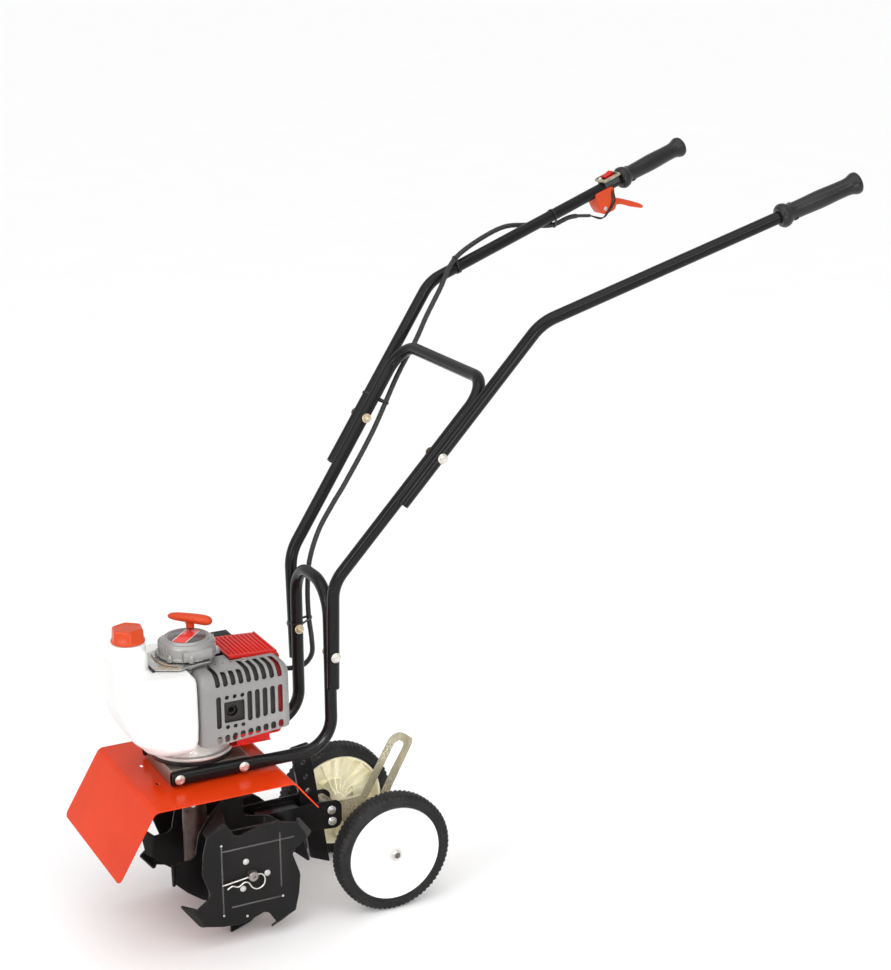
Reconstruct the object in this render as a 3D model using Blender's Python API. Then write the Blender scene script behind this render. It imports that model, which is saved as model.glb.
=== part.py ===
"""Walk-behind two-stroke tiller.

Metres, +Z up.  The front is -Y and the machine's left side is +X.  The ground is z = 0.
"""
from math import cos, pi, radians, sin, sqrt, tan

import bmesh
import bpy
from mathutils import Matrix, Vector

GAP = 0.0003                # clearance between touching pieces

# Tube frame
TUBE_R = 0.010
TUBE_WALL = 0.0015
TUBE_SIDES = 10
LEG_X = 0.066               # centre of each lower leg
LEG_Y = -0.233
RAIL_Z = 0.2795             # centre height of the two bottom rails
RAIL_FRONT_Y = -0.504
RAIL_HALF_HEIGHT = 0.0115   # the rails are pressed flat where they are bolted
RAIL_HALF_WIDTH = 0.0072
ARCH_TOP_Z = 0.552
HOOP_FOOT = Vector((0.0770, LEG_Y, 0.385))
HOOP_KNEE = Vector((0.0858, LEG_Y, 0.561))
HOOP_CORNER = Vector((0.1530, 0.0065, 0.8716))
HANDLE_FOOT = Vector((0.1335, -0.1343, 0.6900))
HANDLE_KNEE = Vector((0.1905, 0.0768, 0.9633))
HANDLE_TIP = Vector((0.2550, 0.6100, 1.1472))
GRIP_LENGTH = 0.148
BOLT_R = 0.003
BOLT_HOLE_R = BOLT_R + GAP
LOWER_JOINT_Z = 0.440
UPPER_JOINT_Y = -0.0780
RAIL_BOLT_Y = (-0.4925, -0.3862)

# Engine, standing on its crank axis
CRANK_Y = -0.446
SEAT_Z = 0.2915             # top face of the engine bracket
BRACKET_X = 0.0580
SHEET = 0.003
BELL_R = 0.066
CASE_Z = (0.346, 0.410)
DECK_Z = 0.4575             # underside of the starter housing
STARTER_R = 0.047
STARTER_TOP_Z = 0.4855
TANK_X = (-0.088, 0.092)
TANK_Y = (-0.570, -0.462)
TANK_Z = (0.324, 0.4515)
TANK_WALL = 0.0035
CAP_CENTRE = Vector((0.0, -0.5410, 0.4925))
COVER_X = 0.092             # outer face of the muffler cover
COVER_Y = (-0.460, -0.311)
COVER_Z = (0.330, 0.447)
COVER_PITCH = 0.01275       # between the cover's slots
COVER_TOP_X = (0.012, 0.0385)   # inner edge of the cover's top, ahead of and beside the red shroud
SHROUD_Y = (-0.390, -0.307)

# Fender
FENDER_HALF_WIDTH = 0.137
FENDER_TOP = 0.2648
FENDER_SHEET = 0.0018
FENDER_OUTLINE = ((-0.6192, 0.1592), (-0.5560, FENDER_TOP), (-0.3270, FENDER_TOP), (-0.2850, 0.2120))

# Drive
TINE_Y = -0.398
TINE_Z = 0.1173
SHAFT_R = 0.008
SHAFT_HALF = 0.1300
CLIP_X = 0.1250
TINE_X = (0.1190, 0.0550)
TINE_SHEET = 0.003
TINE_ANGLES = (20.0, 79.5)  # leading edge of the outer and the inner plate
GEARCASE_HALF = 0.021

# Hitch, depth bar and wheels
PIVOT = Vector((0.0, -0.2185, 0.1480))
WHEEL_R = 0.100
AXLE_Y = -0.153
AXLE_R = 0.005
AXLE_HALF = 0.1385
TYRE_X = (0.095, 0.130)
DISC_R = 0.079
WHEEL_SIDES = 28
BAR_LEAN = radians(8.3)
BAR_TOP_Z = 0.262
BAR_HALF_WIDTH = 0.016
BAR_HALF_THICK = 0.004
HITCH_X = 0.0218            # inner face of each hitch side plate

# Controls on the right handle
CABLE_R = 0.0042
SWITCH_ALONG = 0.166        # distance of the switch from the handle tip
THROTTLE_ALONG = 0.189


# ---------------------------------------------------------------- helpers

def clear_scene():
    for item in list(bpy.data.objects):
        bpy.data.objects.remove(item, do_unlink=True)


def paint(name, colour, roughness, metallic=0.0):
    found = bpy.data.materials.get(name)
    if found:
        return found
    made = bpy.data.materials.new(name)
    made.use_nodes = True
    shader = made.node_tree.nodes["Principled BSDF"]
    shader.inputs["Base Color"].default_value = (*colour, 1.0)
    shader.inputs["Roughness"].default_value = roughness
    shader.inputs["Metallic"].default_value = metallic
    return made


def black_paint():
    return paint("black_powder_coat", (0.012, 0.012, 0.013), 0.35)


def zinc():
    return paint("zinc_plate", (0.62, 0.60, 0.53), 0.35, 1.0)


def steel():
    return paint("machined_steel", (0.55, 0.55, 0.56), 0.30, 1.0)


def cast():
    return paint("die_cast_aluminium", (0.60, 0.60, 0.61), 0.45, 1.0)


def orange():
    return paint("orange_plastic", (0.85, 0.10, 0.02), 0.35)


def red():
    return paint("red_plastic", (0.70, 0.03, 0.02), 0.35)


def grey():
    return paint("grey_plastic", (0.23, 0.23, 0.24), 0.40)


def rubber():
    return paint("black_rubber", (0.015, 0.015, 0.015), 0.75)


def white():
    return paint("white_plastic", (0.85, 0.85, 0.83), 0.35)


def finish(name, bm, material, sharp=35.0):
    """Turn a bmesh into a named, smooth-shaded object."""
    bmesh.ops.recalc_face_normals(bm, faces=bm.faces)
    mesh = bpy.data.meshes.new(name)
    bm.to_mesh(mesh)
    bm.free()
    mesh.shade_smooth()
    mesh.set_sharp_from_angle(angle=radians(sharp))
    item = bpy.data.objects.new(name, mesh)
    bpy.context.collection.objects.link(item)
    if material:
        mesh.materials.append(material)
    return item


def as_cutter(item):
    item.hide_render = True
    item.display_type = "WIRE"
    return item


def combine(target, tool, operation="DIFFERENCE"):
    as_cutter(tool)
    step = target.modifiers.new(tool.name, "BOOLEAN")
    step.operation = operation
    step.object = tool
    return target


def pointing(origin, direction, side=(1, 0, 0)):
    """A placing matrix with local Z along direction and local X near side."""
    z_axis = Vector(direction).normalized()
    x_axis = Vector(side) - z_axis * Vector(side).dot(z_axis)
    x_axis.normalize()
    y_axis = z_axis.cross(x_axis)
    turn = Matrix((x_axis, y_axis, z_axis)).transposed().to_4x4()
    return Matrix.Translation(origin) @ turn


def along_x(origin):
    return pointing(origin, (1, 0, 0), (0, 1, 0))


def upright(x, y, z=0.0):
    return Matrix.Translation((x, y, z))


def skin(bm, rings, closed=False):
    """Join neighbouring rings of vertices with quads."""
    pairs = list(zip(rings, rings[1:]))
    if closed:
        pairs.append((rings[-1], rings[0]))
    for low, high in pairs:
        count = len(low)
        for i in range(count):
            j = (i + 1) % count
            bm.faces.new((low[i], low[j], high[j], high[i]))


def turned(name, profile, place, material, segments=16, loop=False):
    """Turn (radius, height) points about local Z.  A loop profile makes a ring."""
    bm = bmesh.new()
    rings = []
    for radius, height in profile:
        if radius == 0.0:
            rings.append(bm.verts.new(place @ Vector((0, 0, height))))
            continue
        ring = []
        for i in range(segments):
            angle = 2 * pi * i / segments
            ring.append(bm.verts.new(place @ Vector((radius * cos(angle), radius * sin(angle), height))))
        rings.append(ring)
    pairs = list(zip(rings, rings[1:]))
    if loop:
        pairs.append((rings[-1], rings[0]))
    for low, high in pairs:
        for i in range(segments):
            j = (i + 1) % segments
            if isinstance(low, list) and isinstance(high, list):
                bm.faces.new((low[i], low[j], high[j], high[i]))
            elif isinstance(high, list):
                bm.faces.new((low, high[j], high[i]))
            elif isinstance(low, list):
                bm.faces.new((low[i], low[j], high))
    return finish(name, bm, material)


def rod(name, radius, start, end, material, segments=12):
    start, end = Vector(start), Vector(end)
    side = (0, 1, 0) if abs((end - start).normalized().x) > 0.9 else (1, 0, 0)
    profile = [(0.0, 0.0), (radius, 0.0), (radius, (end - start).length), (0.0, (end - start).length)]
    return turned(name, profile, pointing(start, end - start, side), material, segments)


def add_box(bm, low, high):
    low, high = Vector(low), Vector(high)
    size = high - low
    made = bmesh.ops.create_cube(bm, size=1.0)
    bmesh.ops.scale(bm, vec=size, verts=made["verts"])
    bmesh.ops.translate(bm, vec=(low + high) / 2, verts=made["verts"])
    return made["verts"]


def block(name, low, high, material=None, bevel=0.0, segments=2):
    bm = bmesh.new()
    add_box(bm, low, high)
    if bevel:
        bmesh.ops.bevel(bm, geom=bm.edges[:], offset=bevel, segments=segments, affect="EDGES", profile=0.5)
    return finish(name, bm, material)


def boxes(name, corners):
    """Several separate boxes in one cutter."""
    bm = bmesh.new()
    for low, high in corners:
        add_box(bm, low, high)
    return finish(name, bm, None)


def slab(name, outline, place, depth, material):
    """Extrude a flat outline from local z = 0 to depth."""
    bm = bmesh.new()
    low = [bm.verts.new(place @ Vector((x, y, 0.0))) for x, y in outline]
    high = [bm.verts.new(place @ Vector((x, y, depth))) for x, y in outline]
    bm.faces.new(low[::-1])
    bm.faces.new(high)
    skin(bm, [low, high])
    return finish(name, bm, material)


def arc(cx, cy, radius, start, end, steps):
    """Points on an arc, angles in degrees."""
    angles = [radians(start + (end - start) * i / steps) for i in range(steps + 1)]
    return [(cx + radius * cos(a), cy + radius * sin(a)) for a in angles]


def in_side_view(x):
    """Outline axes are world Y and Z, and depth runs towards +X."""
    return pointing((x, 0, 0), (1, 0, 0), (0, 1, 0))


def rounded_path(points, radii, steps=4):
    """A polyline whose inner corners are arcs of the given radii."""
    path = [Vector(points[0])]
    for before, corner, after, radius in zip(points, points[1:], points[2:], radii):
        back = (before - corner).normalized()
        forth = (after - corner).normalized()
        half = back.angle(forth) / 2
        reach = radius / tan(half)
        centre = corner + (back + forth).normalized() * (radius / sin(half))
        first = corner + back * reach - centre
        last = corner + forth * reach - centre
        sweep = first.angle(last)
        for i in range(steps + 1):
            t = i / steps
            spoke = first * (sin((1 - t) * sweep) / sin(sweep)) + last * (sin(t * sweep) / sin(sweep))
            path.append(centre + spoke)
    path.append(Vector(points[-1]))
    return path


def subdivided(path, start, end, step):
    """Add stations between the heights or depths where the section changes."""
    fine = [path[0]]
    for a, b in zip(path, path[1:]):
        pieces = 1
        if start <= (a + b).z / 2 <= end and (b - a).length > step:
            pieces = int((b - a).length / step) + 1
        fine += [a.lerp(b, i / pieces) for i in range(1, pieces + 1)]
    return fine


def carried_frames(path, side):
    """Section axes carried along the path without twist."""
    frames = []
    side = Vector(side)
    for i, point in enumerate(path):
        ahead = path[min(i + 1, len(path) - 1)] - point
        behind = point - path[max(i - 1, 0)]
        tangent = (ahead.normalized() + behind.normalized()).normalized()
        side = (side - tangent * side.dot(tangent)).normalized()
        frames.append((point, side, tangent.cross(side)))
    return frames


def tube(name, path, material, side=(1, 0, 0), section=None, press=None, sides=TUBE_SIDES):
    """A hollow tube with open ends.

    section(point) gives the half sizes along the two section axes.
    press(vertex, wall) moves a vertex where the tube is pressed round its neighbour.
    """
    bm = bmesh.new()
    skins = []
    for wall in (0.0, TUBE_WALL):
        rings = []
        for point, u, v in carried_frames(path, side):
            half_u, half_v = section(point) if section else (TUBE_R, TUBE_R)
            ring = []
            for i in range(sides):
                angle = 2 * pi * i / sides
                place = point + u * (half_u - wall) * cos(angle) + v * (half_v - wall) * sin(angle)
                if press:
                    place = press(place, wall)
                ring.append(bm.verts.new(place))
            rings.append(ring)
        skins.append(rings)
        skin(bm, rings)
    for end in (0, -1):
        outer, inner = skins[0][end], skins[1][end]
        skin(bm, [outer, inner])
    return finish(name, bm, material)


def pressed_round(axis_point, axis_direction, push, low_z, high_z):
    """Keep a tube's vertices outside a neighbouring round tube."""
    direction = Vector(axis_direction).normalized()
    push = Vector(push)
    push = (push - direction * push.dot(direction)).normalized()

    def press(place, wall):
        if not low_z <= place.z <= high_z:
            return place
        off = place - axis_point
        off = off - direction * off.dot(direction)
        keep = TUBE_R + 0.0006 + wall
        along = off.dot(push)
        across = (off - push * along).length
        if across >= keep:
            return place
        reach = sqrt(keep * keep - across * across)
        return place + push * max(0.0, reach - along)

    return press


def mirrored(point, side):
    return Vector((point[0] * side, point[1], point[2]))


def smooth_points(points, spacing):
    """Points on a Catmull-Rom curve through the given ones, at about equal spacing."""
    points = [Vector(p) for p in points]
    padded = [points[0] * 2 - points[1]] + points + [points[-1] * 2 - points[-2]]
    dense = []
    for a, b, c, d in zip(padded, padded[1:], padded[2:], padded[3:]):
        for i in range(24):
            t = i / 24
            dense.append(0.5 * (b * 2 + (c - a) * t + (a * 2 - b * 5 + c * 4 - d) * t * t
                                + (b * 3 - a - c * 3 + d) * t * t * t))
    dense.append(points[-1])
    kept = [dense[0]]
    for point in dense[1:-1]:
        if (point - kept[-1]).length >= spacing:
            kept.append(point)
    return kept + [dense[-1]]


def through_bolt(name, head_end, nut_end, material):
    """A bolt with a domed flange head, and its washer and nut, as one turned piece."""
    head_end, nut_end = Vector(head_end), Vector(nut_end)
    length = (nut_end - head_end).length
    profile = [(0.0, -0.0048), (0.0045, -0.0042), (0.0078, -0.0018), (0.0082, -GAP), (BOLT_R, -GAP),
               (BOLT_R, length + GAP), (0.0080, length + GAP), (0.0080, length + 0.0015),
               (0.0058, length + 0.0016), (0.0058, length + 0.0066), (BOLT_R, length + 0.0068),
               (BOLT_R, length + 0.0100), (0.0, length + 0.0105)]
    return turned(name, profile, pointing(head_end, nut_end - head_end, (0, 0, 1)), material, 8)


# ---------------------------------------------------------------- tube frame

def rail_section(point):
    """Flat at the front, where the rails are bolted, and round from there to the legs."""
    blend = min(1.0, max(0.0, (point.y + 0.365) / 0.050))
    if point.z > RAIL_Z + 0.02:
        blend = 1.0
    return (RAIL_HALF_WIDTH + (TUBE_R - RAIL_HALF_WIDTH) * blend,
            RAIL_HALF_HEIGHT + (TUBE_R - RAIL_HALF_HEIGHT) * blend)


def base_frame():
    half = []
    for side in (1, -1):
        corners = [Vector((side * LEG_X, RAIL_FRONT_Y, RAIL_Z)), Vector((side * LEG_X, LEG_Y, RAIL_Z)),
                   Vector((side * LEG_X, LEG_Y, ARCH_TOP_Z)), Vector((0.0, LEG_Y, ARCH_TOP_Z))]
        path = rounded_path(corners, (0.052, 0.054))
        path[1:1] = [Vector((side * LEG_X, y, RAIL_Z)) for y in (-0.365, -0.340, -0.315)]
        half.append(path)
    path = half[0] + half[1][-2::-1]
    frame = tube("base_frame", path, black_paint(), section=rail_section)
    for side in (1, -1):
        for n, y in enumerate(RAIL_BOLT_Y):
            inner = side * (LEG_X - 0.02)
            outer = side * (LEG_X + 0.02)
            combine(frame, rod(f"cut_rail_{side}_{n}", BOLT_HOLE_R, (inner, y, RAIL_Z), (outer, y, RAIL_Z),
                               None, 10))
        combine(frame, rod(f"cut_leg_{side}", BOLT_HOLE_R, (side * (LEG_X - 0.02), LEG_Y, LOWER_JOINT_Z),
                           (side * (LEG_X + 0.04), LEG_Y, LOWER_JOINT_Z), None, 10))
    return frame


def upper_joint_places(side):
    """Centres of the hoop leg and the handle at the upper bolt."""
    slope = HOOP_CORNER - HOOP_KNEE
    inner = HOOP_KNEE + slope * ((UPPER_JOINT_Y - HOOP_KNEE.y) / slope.y)
    run = HANDLE_KNEE - HANDLE_FOOT
    outer = HANDLE_FOOT + run * ((UPPER_JOINT_Y - HANDLE_FOOT.y) / run.y)
    outer.z = inner.z
    return mirrored(inner, side), mirrored(outer, side)


def mid_hoop():
    left = [HOOP_FOOT, HOOP_KNEE, HOOP_CORNER]
    right = [mirrored(p, -1) for p in left]
    path = rounded_path(left + right[::-1], (0.070, 0.042, 0.042, 0.070))
    path = subdivided(path, 0.0, 0.535, 0.045)
    presses = [pressed_round(Vector((side * LEG_X, LEG_Y, 0)), (0, 0, 1), (side, 0, 0), 0.0, 0.520)
               for side in (1, -1)]

    def press(place, wall):
        return presses[0 if place.x > 0 else 1](place, wall)

    hoop = tube("mid_hoop", path, black_paint(), press=press)
    for side in (1, -1):
        inner, outer = upper_joint_places(side)
        combine(hoop, rod(f"cut_hoop_low_{side}", BOLT_HOLE_R, (side * (LEG_X - 0.01), LEG_Y, LOWER_JOINT_Z),
                          (side * (LEG_X + 0.04), LEG_Y, LOWER_JOINT_Z), None, 10))
        combine(hoop, rod(f"cut_hoop_high_{side}", BOLT_HOLE_R, inner - Vector((side * 0.02, 0, 0)),
                          inner + Vector((side * 0.02, 0, 0)), None, 10))
    return hoop


def handle(name, side):
    corners = [mirrored(p, side) for p in (HANDLE_FOOT, HANDLE_KNEE, HANDLE_TIP)]
    path = rounded_path(corners, (0.075,))
    path = subdivided(path, 0.0, 0.880, 0.045)
    hoop_run = mirrored(HOOP_CORNER, side) - mirrored(HOOP_KNEE, side)
    press = pressed_round(mirrored(HOOP_KNEE, side), hoop_run, (side, 0, 0), 0.0, 0.880)
    bar = tube(name, path, black_paint(), press=press)
    inner, outer = upper_joint_places(side)
    return combine(bar, rod(f"cut_{name}", BOLT_HOLE_R, inner, outer + Vector((side * 0.02, 0, 0)), None, 10))


def grip(name, side):
    tip = mirrored(HANDLE_TIP, side)
    back = (mirrored(HANDLE_KNEE, side) - tip).normalized()
    bore = TUBE_R + GAP
    inner_end = 0.004
    profile = [(0.0, -inner_end - GAP), (0.0150, -inner_end - GAP), (0.0185, -0.0005), (0.0185, 0.0060),
               (0.0145, 0.0125), (0.0140, 0.0400), (0.0148, 0.0700), (0.0140, 0.1050), (0.0140, 0.1240),
               (0.0190, 0.1310), (0.0195, 0.1385), (0.0160, GRIP_LENGTH - 0.004), (bore, GRIP_LENGTH - 0.004),
               (bore, -GAP), (0.0, -GAP)]
    return turned(name, profile, pointing(tip, back), rubber(), 14)


def joint_bolts():
    for side, word in ((1, "left"), (-1, "right")):
        leg_inner = LEG_X - TUBE_R
        leg_outer = HOOP_FOOT.x + (HOOP_KNEE.x - HOOP_FOOT.x) * 0.31 + TUBE_R + 0.0007
        through_bolt(f"lower_joint_bolt_{word}", (side * leg_outer, LEG_Y, LOWER_JOINT_Z),
                     (side * leg_inner, LEG_Y, LOWER_JOINT_Z), zinc())
        inner, outer = upper_joint_places(side)
        lean = 0.0013
        through_bolt(f"upper_joint_bolt_{word}", outer + Vector((side * (TUBE_R + lean), 0, 0)),
                     inner - Vector((side * (TUBE_R + lean), 0, 0)), zinc())


def rail_bolts():
    reach = LEG_X + RAIL_HALF_WIDTH
    for word, y in zip(("front", "rear"), RAIL_BOLT_Y):
        through_bolt(f"rail_bolt_{word}", (reach, y, RAIL_Z), (-reach, y, RAIL_Z), zinc())


# ---------------------------------------------------------------- fender and engine seat

def engine_bracket():
    plate = block("engine_bracket", (-BRACKET_X, -0.502, SEAT_Z - SHEET), (BRACKET_X, -0.372, SEAT_Z),
                  paint("bare_steel", (0.36, 0.33, 0.28), 0.45, 0.8))
    foot = FENDER_TOP + 0.0008
    for side in (1, -1):
        low_x, high_x = sorted((side * BRACKET_X, side * (BRACKET_X - SHEET)))
        flange = block(f"add_flange_{side}", (low_x, -0.502, foot), (high_x, -0.372, SEAT_Z - 0.001))
        combine(plate, flange, "UNION")
        for n, y in enumerate(RAIL_BOLT_Y):
            combine(plate, rod(f"cut_flange_{side}_{n}", BOLT_HOLE_R, (side * 0.05, y, RAIL_Z),
                               (side * 0.065, y, RAIL_Z), None, 10))
    lip = block("add_front_lip", (-BRACKET_X + 0.001, -0.502, foot), (BRACKET_X - 0.001, -0.499,
                                                                      SEAT_Z - 0.001))
    combine(plate, lip, "UNION")
    return combine(plate, rod("cut_seat", 0.0230, (0, CRANK_Y, 0.27), (0, CRANK_Y, 0.30), None, 20))


def fender():
    outer = list(FENDER_OUTLINE)
    sheet = FENDER_SHEET
    inner = [(-0.6176, 0.1583), (-0.5550, FENDER_TOP - sheet), (-0.3279, FENDER_TOP - sheet),
             (-0.2864, 0.2109)]
    bent = slab("fender", outer + inner[::-1], in_side_view(-FENDER_HALF_WIDTH), 2 * FENDER_HALF_WIDTH,
                paint("orange_enamel", (0.90, 0.13, 0.02), 0.25))
    combine(bent, rod("cut_fender_neck", 0.0230, (0, CRANK_Y, 0.25), (0, CRANK_Y, 0.275), None, 20))
    slots = [((x - 0.0055, -0.5205, 0.25), (x + 0.0055, -0.5155, 0.28)) for x in (-0.038, 0.038)]
    return combine(bent, boxes("cut_fender_slots", slots))


# ---------------------------------------------------------------- engine

def mount_ring():
    return turned("mount_ring", [(0.056, SEAT_Z + GAP), (0.068, SEAT_Z + GAP), (0.068, 0.2992),
                                 (0.056, 0.2992)],
                  upright(0, CRANK_Y), rubber(), 24, True)


def clutch_housing():
    top = CASE_Z[0] - GAP
    profile = [(0.0560, 0.2995), (BELL_R, 0.2995), (BELL_R, 0.3035), (0.0610, 0.3070), (0.0500, 0.3380),
               (0.0440, top), (0.0125, top), (0.0125, 0.3410), (0.0410, 0.3410), (0.0460, 0.3360), (0.0560,
                                                                                                    0.3060)]
    return turned("clutch_housing", profile, upright(0, CRANK_Y), cast(), 20, True)


def crankcase():
    low, high = CASE_Z
    profile = [(0.0125, low), (0.0400, low), (0.0400, high), (0.0125, high)]
    case = turned("crankcase", profile, upright(0, CRANK_Y), cast(), 20, True)
    neck = block("add_case_neck", (-0.030, CRANK_Y + 0.030, 0.352), (0.030, -0.3985, 0.404))
    combine(case, neck, "UNION")
    return combine(case, rod("cut_case", 0.0300, (0, CRANK_Y, 0.356), (0, CRANK_Y, 0.400), None, 20))


def cylinder():
    """Comb of cooling fins, the bore along Y."""
    root, tip = 0.020, 0.034
    centre = 0.378
    start, end, fins = -0.3980, -0.3180, 7
    pitch = (end - start) / (fins - 0.5)
    upper = []
    for i in range(fins):
        y = start + i * pitch
        upper += [(y, tip), (y + pitch / 2, tip)]
        if i < fins - 1:
            upper += [(y + pitch / 2, root), (y + pitch, root)]
    outline = [(y, centre + h) for y, h in upper] + [(y, centre - h) for y, h in reversed(upper)]
    barrel = slab("cylinder", outline, in_side_view(-0.032), 0.064, cast())
    return combine(barrel, rod("cut_plug_well", 0.0055, (0, -0.325, centre), (0, -0.310, centre), None, 12))


def muffler():
    return block("muffler", (0.0330, -0.4030, 0.346), (0.0800, -0.3330, 0.418),
                 paint("heat_dark_steel", (0.08, 0.07, 0.07), 0.5, 0.8), 0.006)


def cover_outline(inset=0.0):
    """Muffler cover seen from the front: open towards the engine and below."""
    x = COVER_X - inset
    top = COVER_Z[1] - inset
    bend = 0.034 - inset
    return [(COVER_TOP_X[0], top)] + arc(x - bend, top - bend, bend, 90, 0, 6) + [(x, COVER_Z[0] + 0.012)]


def muffler_cover():
    """Slotted cover round the silencer, with a wall at each end."""
    wall = 0.0022
    front, rear = COVER_Y
    floor = COVER_Z[0]
    outer = cover_outline() + [(COVER_X - 0.005, floor)]
    inner = [(COVER_X - 0.005 - wall, floor)] + cover_outline(wall)[::-1]
    across = pointing((0, front, 0), (0, 1, 0), (1, 0, 0))
    cover = slab("muffler_cover", [(x, -z) for x, z in outer + inner], across, rear - front, grey())
    end_outline = [(0.0400, -COVER_Z[1] + wall / 2), (0.0560, -0.3400), (0.0700, -floor - 0.002)]
    end_outline += [(x, -z) for x, z in cover_outline(wall / 2)[:0:-1]]
    for n, y in enumerate((front, rear - wall)):
        end = slab(f"add_cover_end_{n}", end_outline, pointing((0, y, 0), (0, 1, 0), (1, 0, 0)), wall, None)
        combine(cover, end, "UNION")
    combine(cover, engine_space("cut_cover_front"))
    beside = ((0.0, SHROUD_Y[0] - 0.0005, 0.40), (COVER_TOP_X[1], rear + 0.01, 0.46))
    combine(cover, boxes("cut_cover_top", [beside]))
    columns = [-0.4313 + COVER_PITCH * i for i in range(9)]
    past = COVER_X + 0.01
    half = 0.0037
    face = [((COVER_X - 0.01, columns[1] - half, 0.3669), (past, columns[3] + half, 0.4016))]
    wraps = []
    for n, y in enumerate(columns):
        short = n in (1, 2, 3)
        if not short:
            face.append(((COVER_X - 0.01, y - half, 0.3591 + 0.0011 * n), (past, y + half, 0.4124 + 0.0003 * n)))
        start = 0.0720 if short else 0.0400 + 0.0010 * n
        wraps.append(((start, y - half, 0.4270), (past, y + half, 0.4600)))
    combine(cover, boxes("cut_face_slots", face))
    combine(cover, boxes("cut_wrap_slots", wraps))
    below = [(-0.4700, 0.3000), (-0.4700, 0.3301), (-0.4400, 0.3301), (-0.3000, 0.3440), (-0.3000, 0.3000)]
    return combine(cover, slab("cut_cover_floor", below, in_side_view(-0.02), 0.15, None))


def cylinder_cover():
    """Shroud over the cylinder, with ribs across its top and a floor under the fins."""
    front, rear = SHROUD_Y
    top, wall, rib = 0.4530, 0.0025, 0.0014
    floor = 0.3100
    outline = [(front, top - 0.004), (front, top)]
    ribs = 8
    pitch = (rear - front - 0.006) / ribs
    for i in range(ribs):
        y = front + 0.003 + i * pitch
        outline += [(y, top), (y, top - rib), (y + pitch * 0.4, top - rib), (y + pitch * 0.4, top)]
    outline += [(rear - 0.004, top), (rear, top - 0.004), (rear, floor + 0.004), (rear - 0.004, floor),
                (front - 0.010, floor), (front - 0.010, floor + wall), (rear - 0.005, floor + wall),
                (rear - wall, floor + 0.006), (rear - wall, top - 0.007), (rear - 0.006, top - 0.004)]
    shroud = slab("cylinder_cover", outline, in_side_view(-0.062), 0.098, red())
    ledge = block("add_shroud_ledge", (0.030, front - 0.010, floor), (0.060, front + 0.055, floor + wall))
    combine(shroud, ledge, "UNION")
    combine(shroud, engine_space("cut_shroud_front"))
    return combine(shroud, block("cut_shroud_side", (0.0260, rear - 0.010, 0.330), (0.10, rear + 0.01,
                                                                                    0.440)))


def fan_housing():
    low, high = CASE_Z[1] + GAP, 0.4520
    profile = [(0.0420, low), (0.0460, low), (0.0460, high), (0.0420, high)]
    return turned("fan_housing", profile, upright(0, CRANK_Y), grey(), 28, True)


def flywheel():
    profile = [(0.0075, 0.4130), (0.0395, 0.4130), (0.0395, 0.4180), (0.0360, 0.4200), (0.0360, 0.4480),
               (0.0330, 0.4480), (0.0330, 0.4210), (0.0130, 0.4210), (0.0130, 0.4480), (0.0075, 0.4480)]
    return turned("flywheel", profile, upright(0, CRANK_Y), cast(), 18, True)


def crankshaft():
    """Main journals, webs and the offset crank pin, in line with the starter and the clutch."""
    shaft = rod("crankshaft", 0.0070, (0, CRANK_Y, 0.3390), (0, CRANK_Y, 0.4520), steel(), 14)
    webs = rod("add_webs", 0.0240, (0, CRANK_Y, 0.3620), (0, CRANK_Y, 0.3940), None, 20)
    combine(shaft, webs, "UNION")
    throw = boxes("cut_throw", [((-0.03, CRANK_Y - 0.03, 0.3700), (0.03, CRANK_Y + 0.006, 0.3860))])
    return combine(shaft, throw)


def clutch_shoes():
    shoes = turned("clutch_shoes", [(0.0, 0.3120), (0.0330, 0.3120), (0.0330, 0.3300), (0.0070, 0.3300),
                                    (0.0070, 0.3387), (0.0, 0.3387)], upright(0, CRANK_Y), cast(), 24)
    return combine(shoes, boxes("cut_shoe_gap", [((-0.002, CRANK_Y - 0.04, 0.30), (0.002, CRANK_Y - 0.012,
                                                                                   0.335)),
                                                 ((-0.002, CRANK_Y + 0.012, 0.30), (0.002, CRANK_Y + 0.04,
                                                                                    0.335))]))


def clutch_drum():
    profile = [(0.0, 0.3040), (0.0380, 0.3040), (0.0380, 0.3320), (0.0345, 0.3320), (0.0345, 0.3080),
               (0.0, 0.3080)]
    return turned("clutch_drum", profile, upright(0, CRANK_Y), steel(), 24)


def starter_housing():
    profile = [(0.0400, DECK_Z), (STARTER_R, DECK_Z), (STARTER_R, 0.4740), (0.0440, 0.4790), (0.0380, 0.4810),
               (0.0360, STARTER_TOP_Z), (0.0, STARTER_TOP_Z), (0.0, 0.4825), (0.0340, 0.4825), (0.0400,
                                                                                                0.4770)]
    return turned("starter_housing", profile, upright(0, CRANK_Y), grey(), 24, True)


def starter_pulley():
    profile = [(0.0, 0.4590), (0.0300, 0.4590), (0.0300, 0.4620), (0.0220, 0.4640), (0.0220, 0.4700),
               (0.0300, 0.4720), (0.0300, 0.4750), (0.0, 0.4750)]
    return turned("starter_pulley", profile, upright(0, CRANK_Y), paint("nylon", (0.7, 0.7, 0.66), 0.5), 16)


def starter_handle():
    """Moulded pull: a crossbar with rounded ends on a short stem over the rope's guide."""
    place = pointing((-0.0290, -0.4295, STARTER_TOP_Z + 0.0004), (0, 0, 1), (0.70, 0.71, 0))
    half, height, radius = 0.0320, 0.0170, 0.0065
    outline = arc(half, height, radius, -80, 90, 5) + arc(-half, height, radius, 90, 260, 5)
    outline += [(-0.0075, 0.0095), (-0.0060, 0.0), (0.0060, 0.0), (0.0075, 0.0095)]
    flat = place @ Matrix.Rotation(radians(90), 4, "X") @ Matrix.Translation((0, 0, -0.0075))
    return slab("starter_handle", outline, flat, 0.015, orange())


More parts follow.
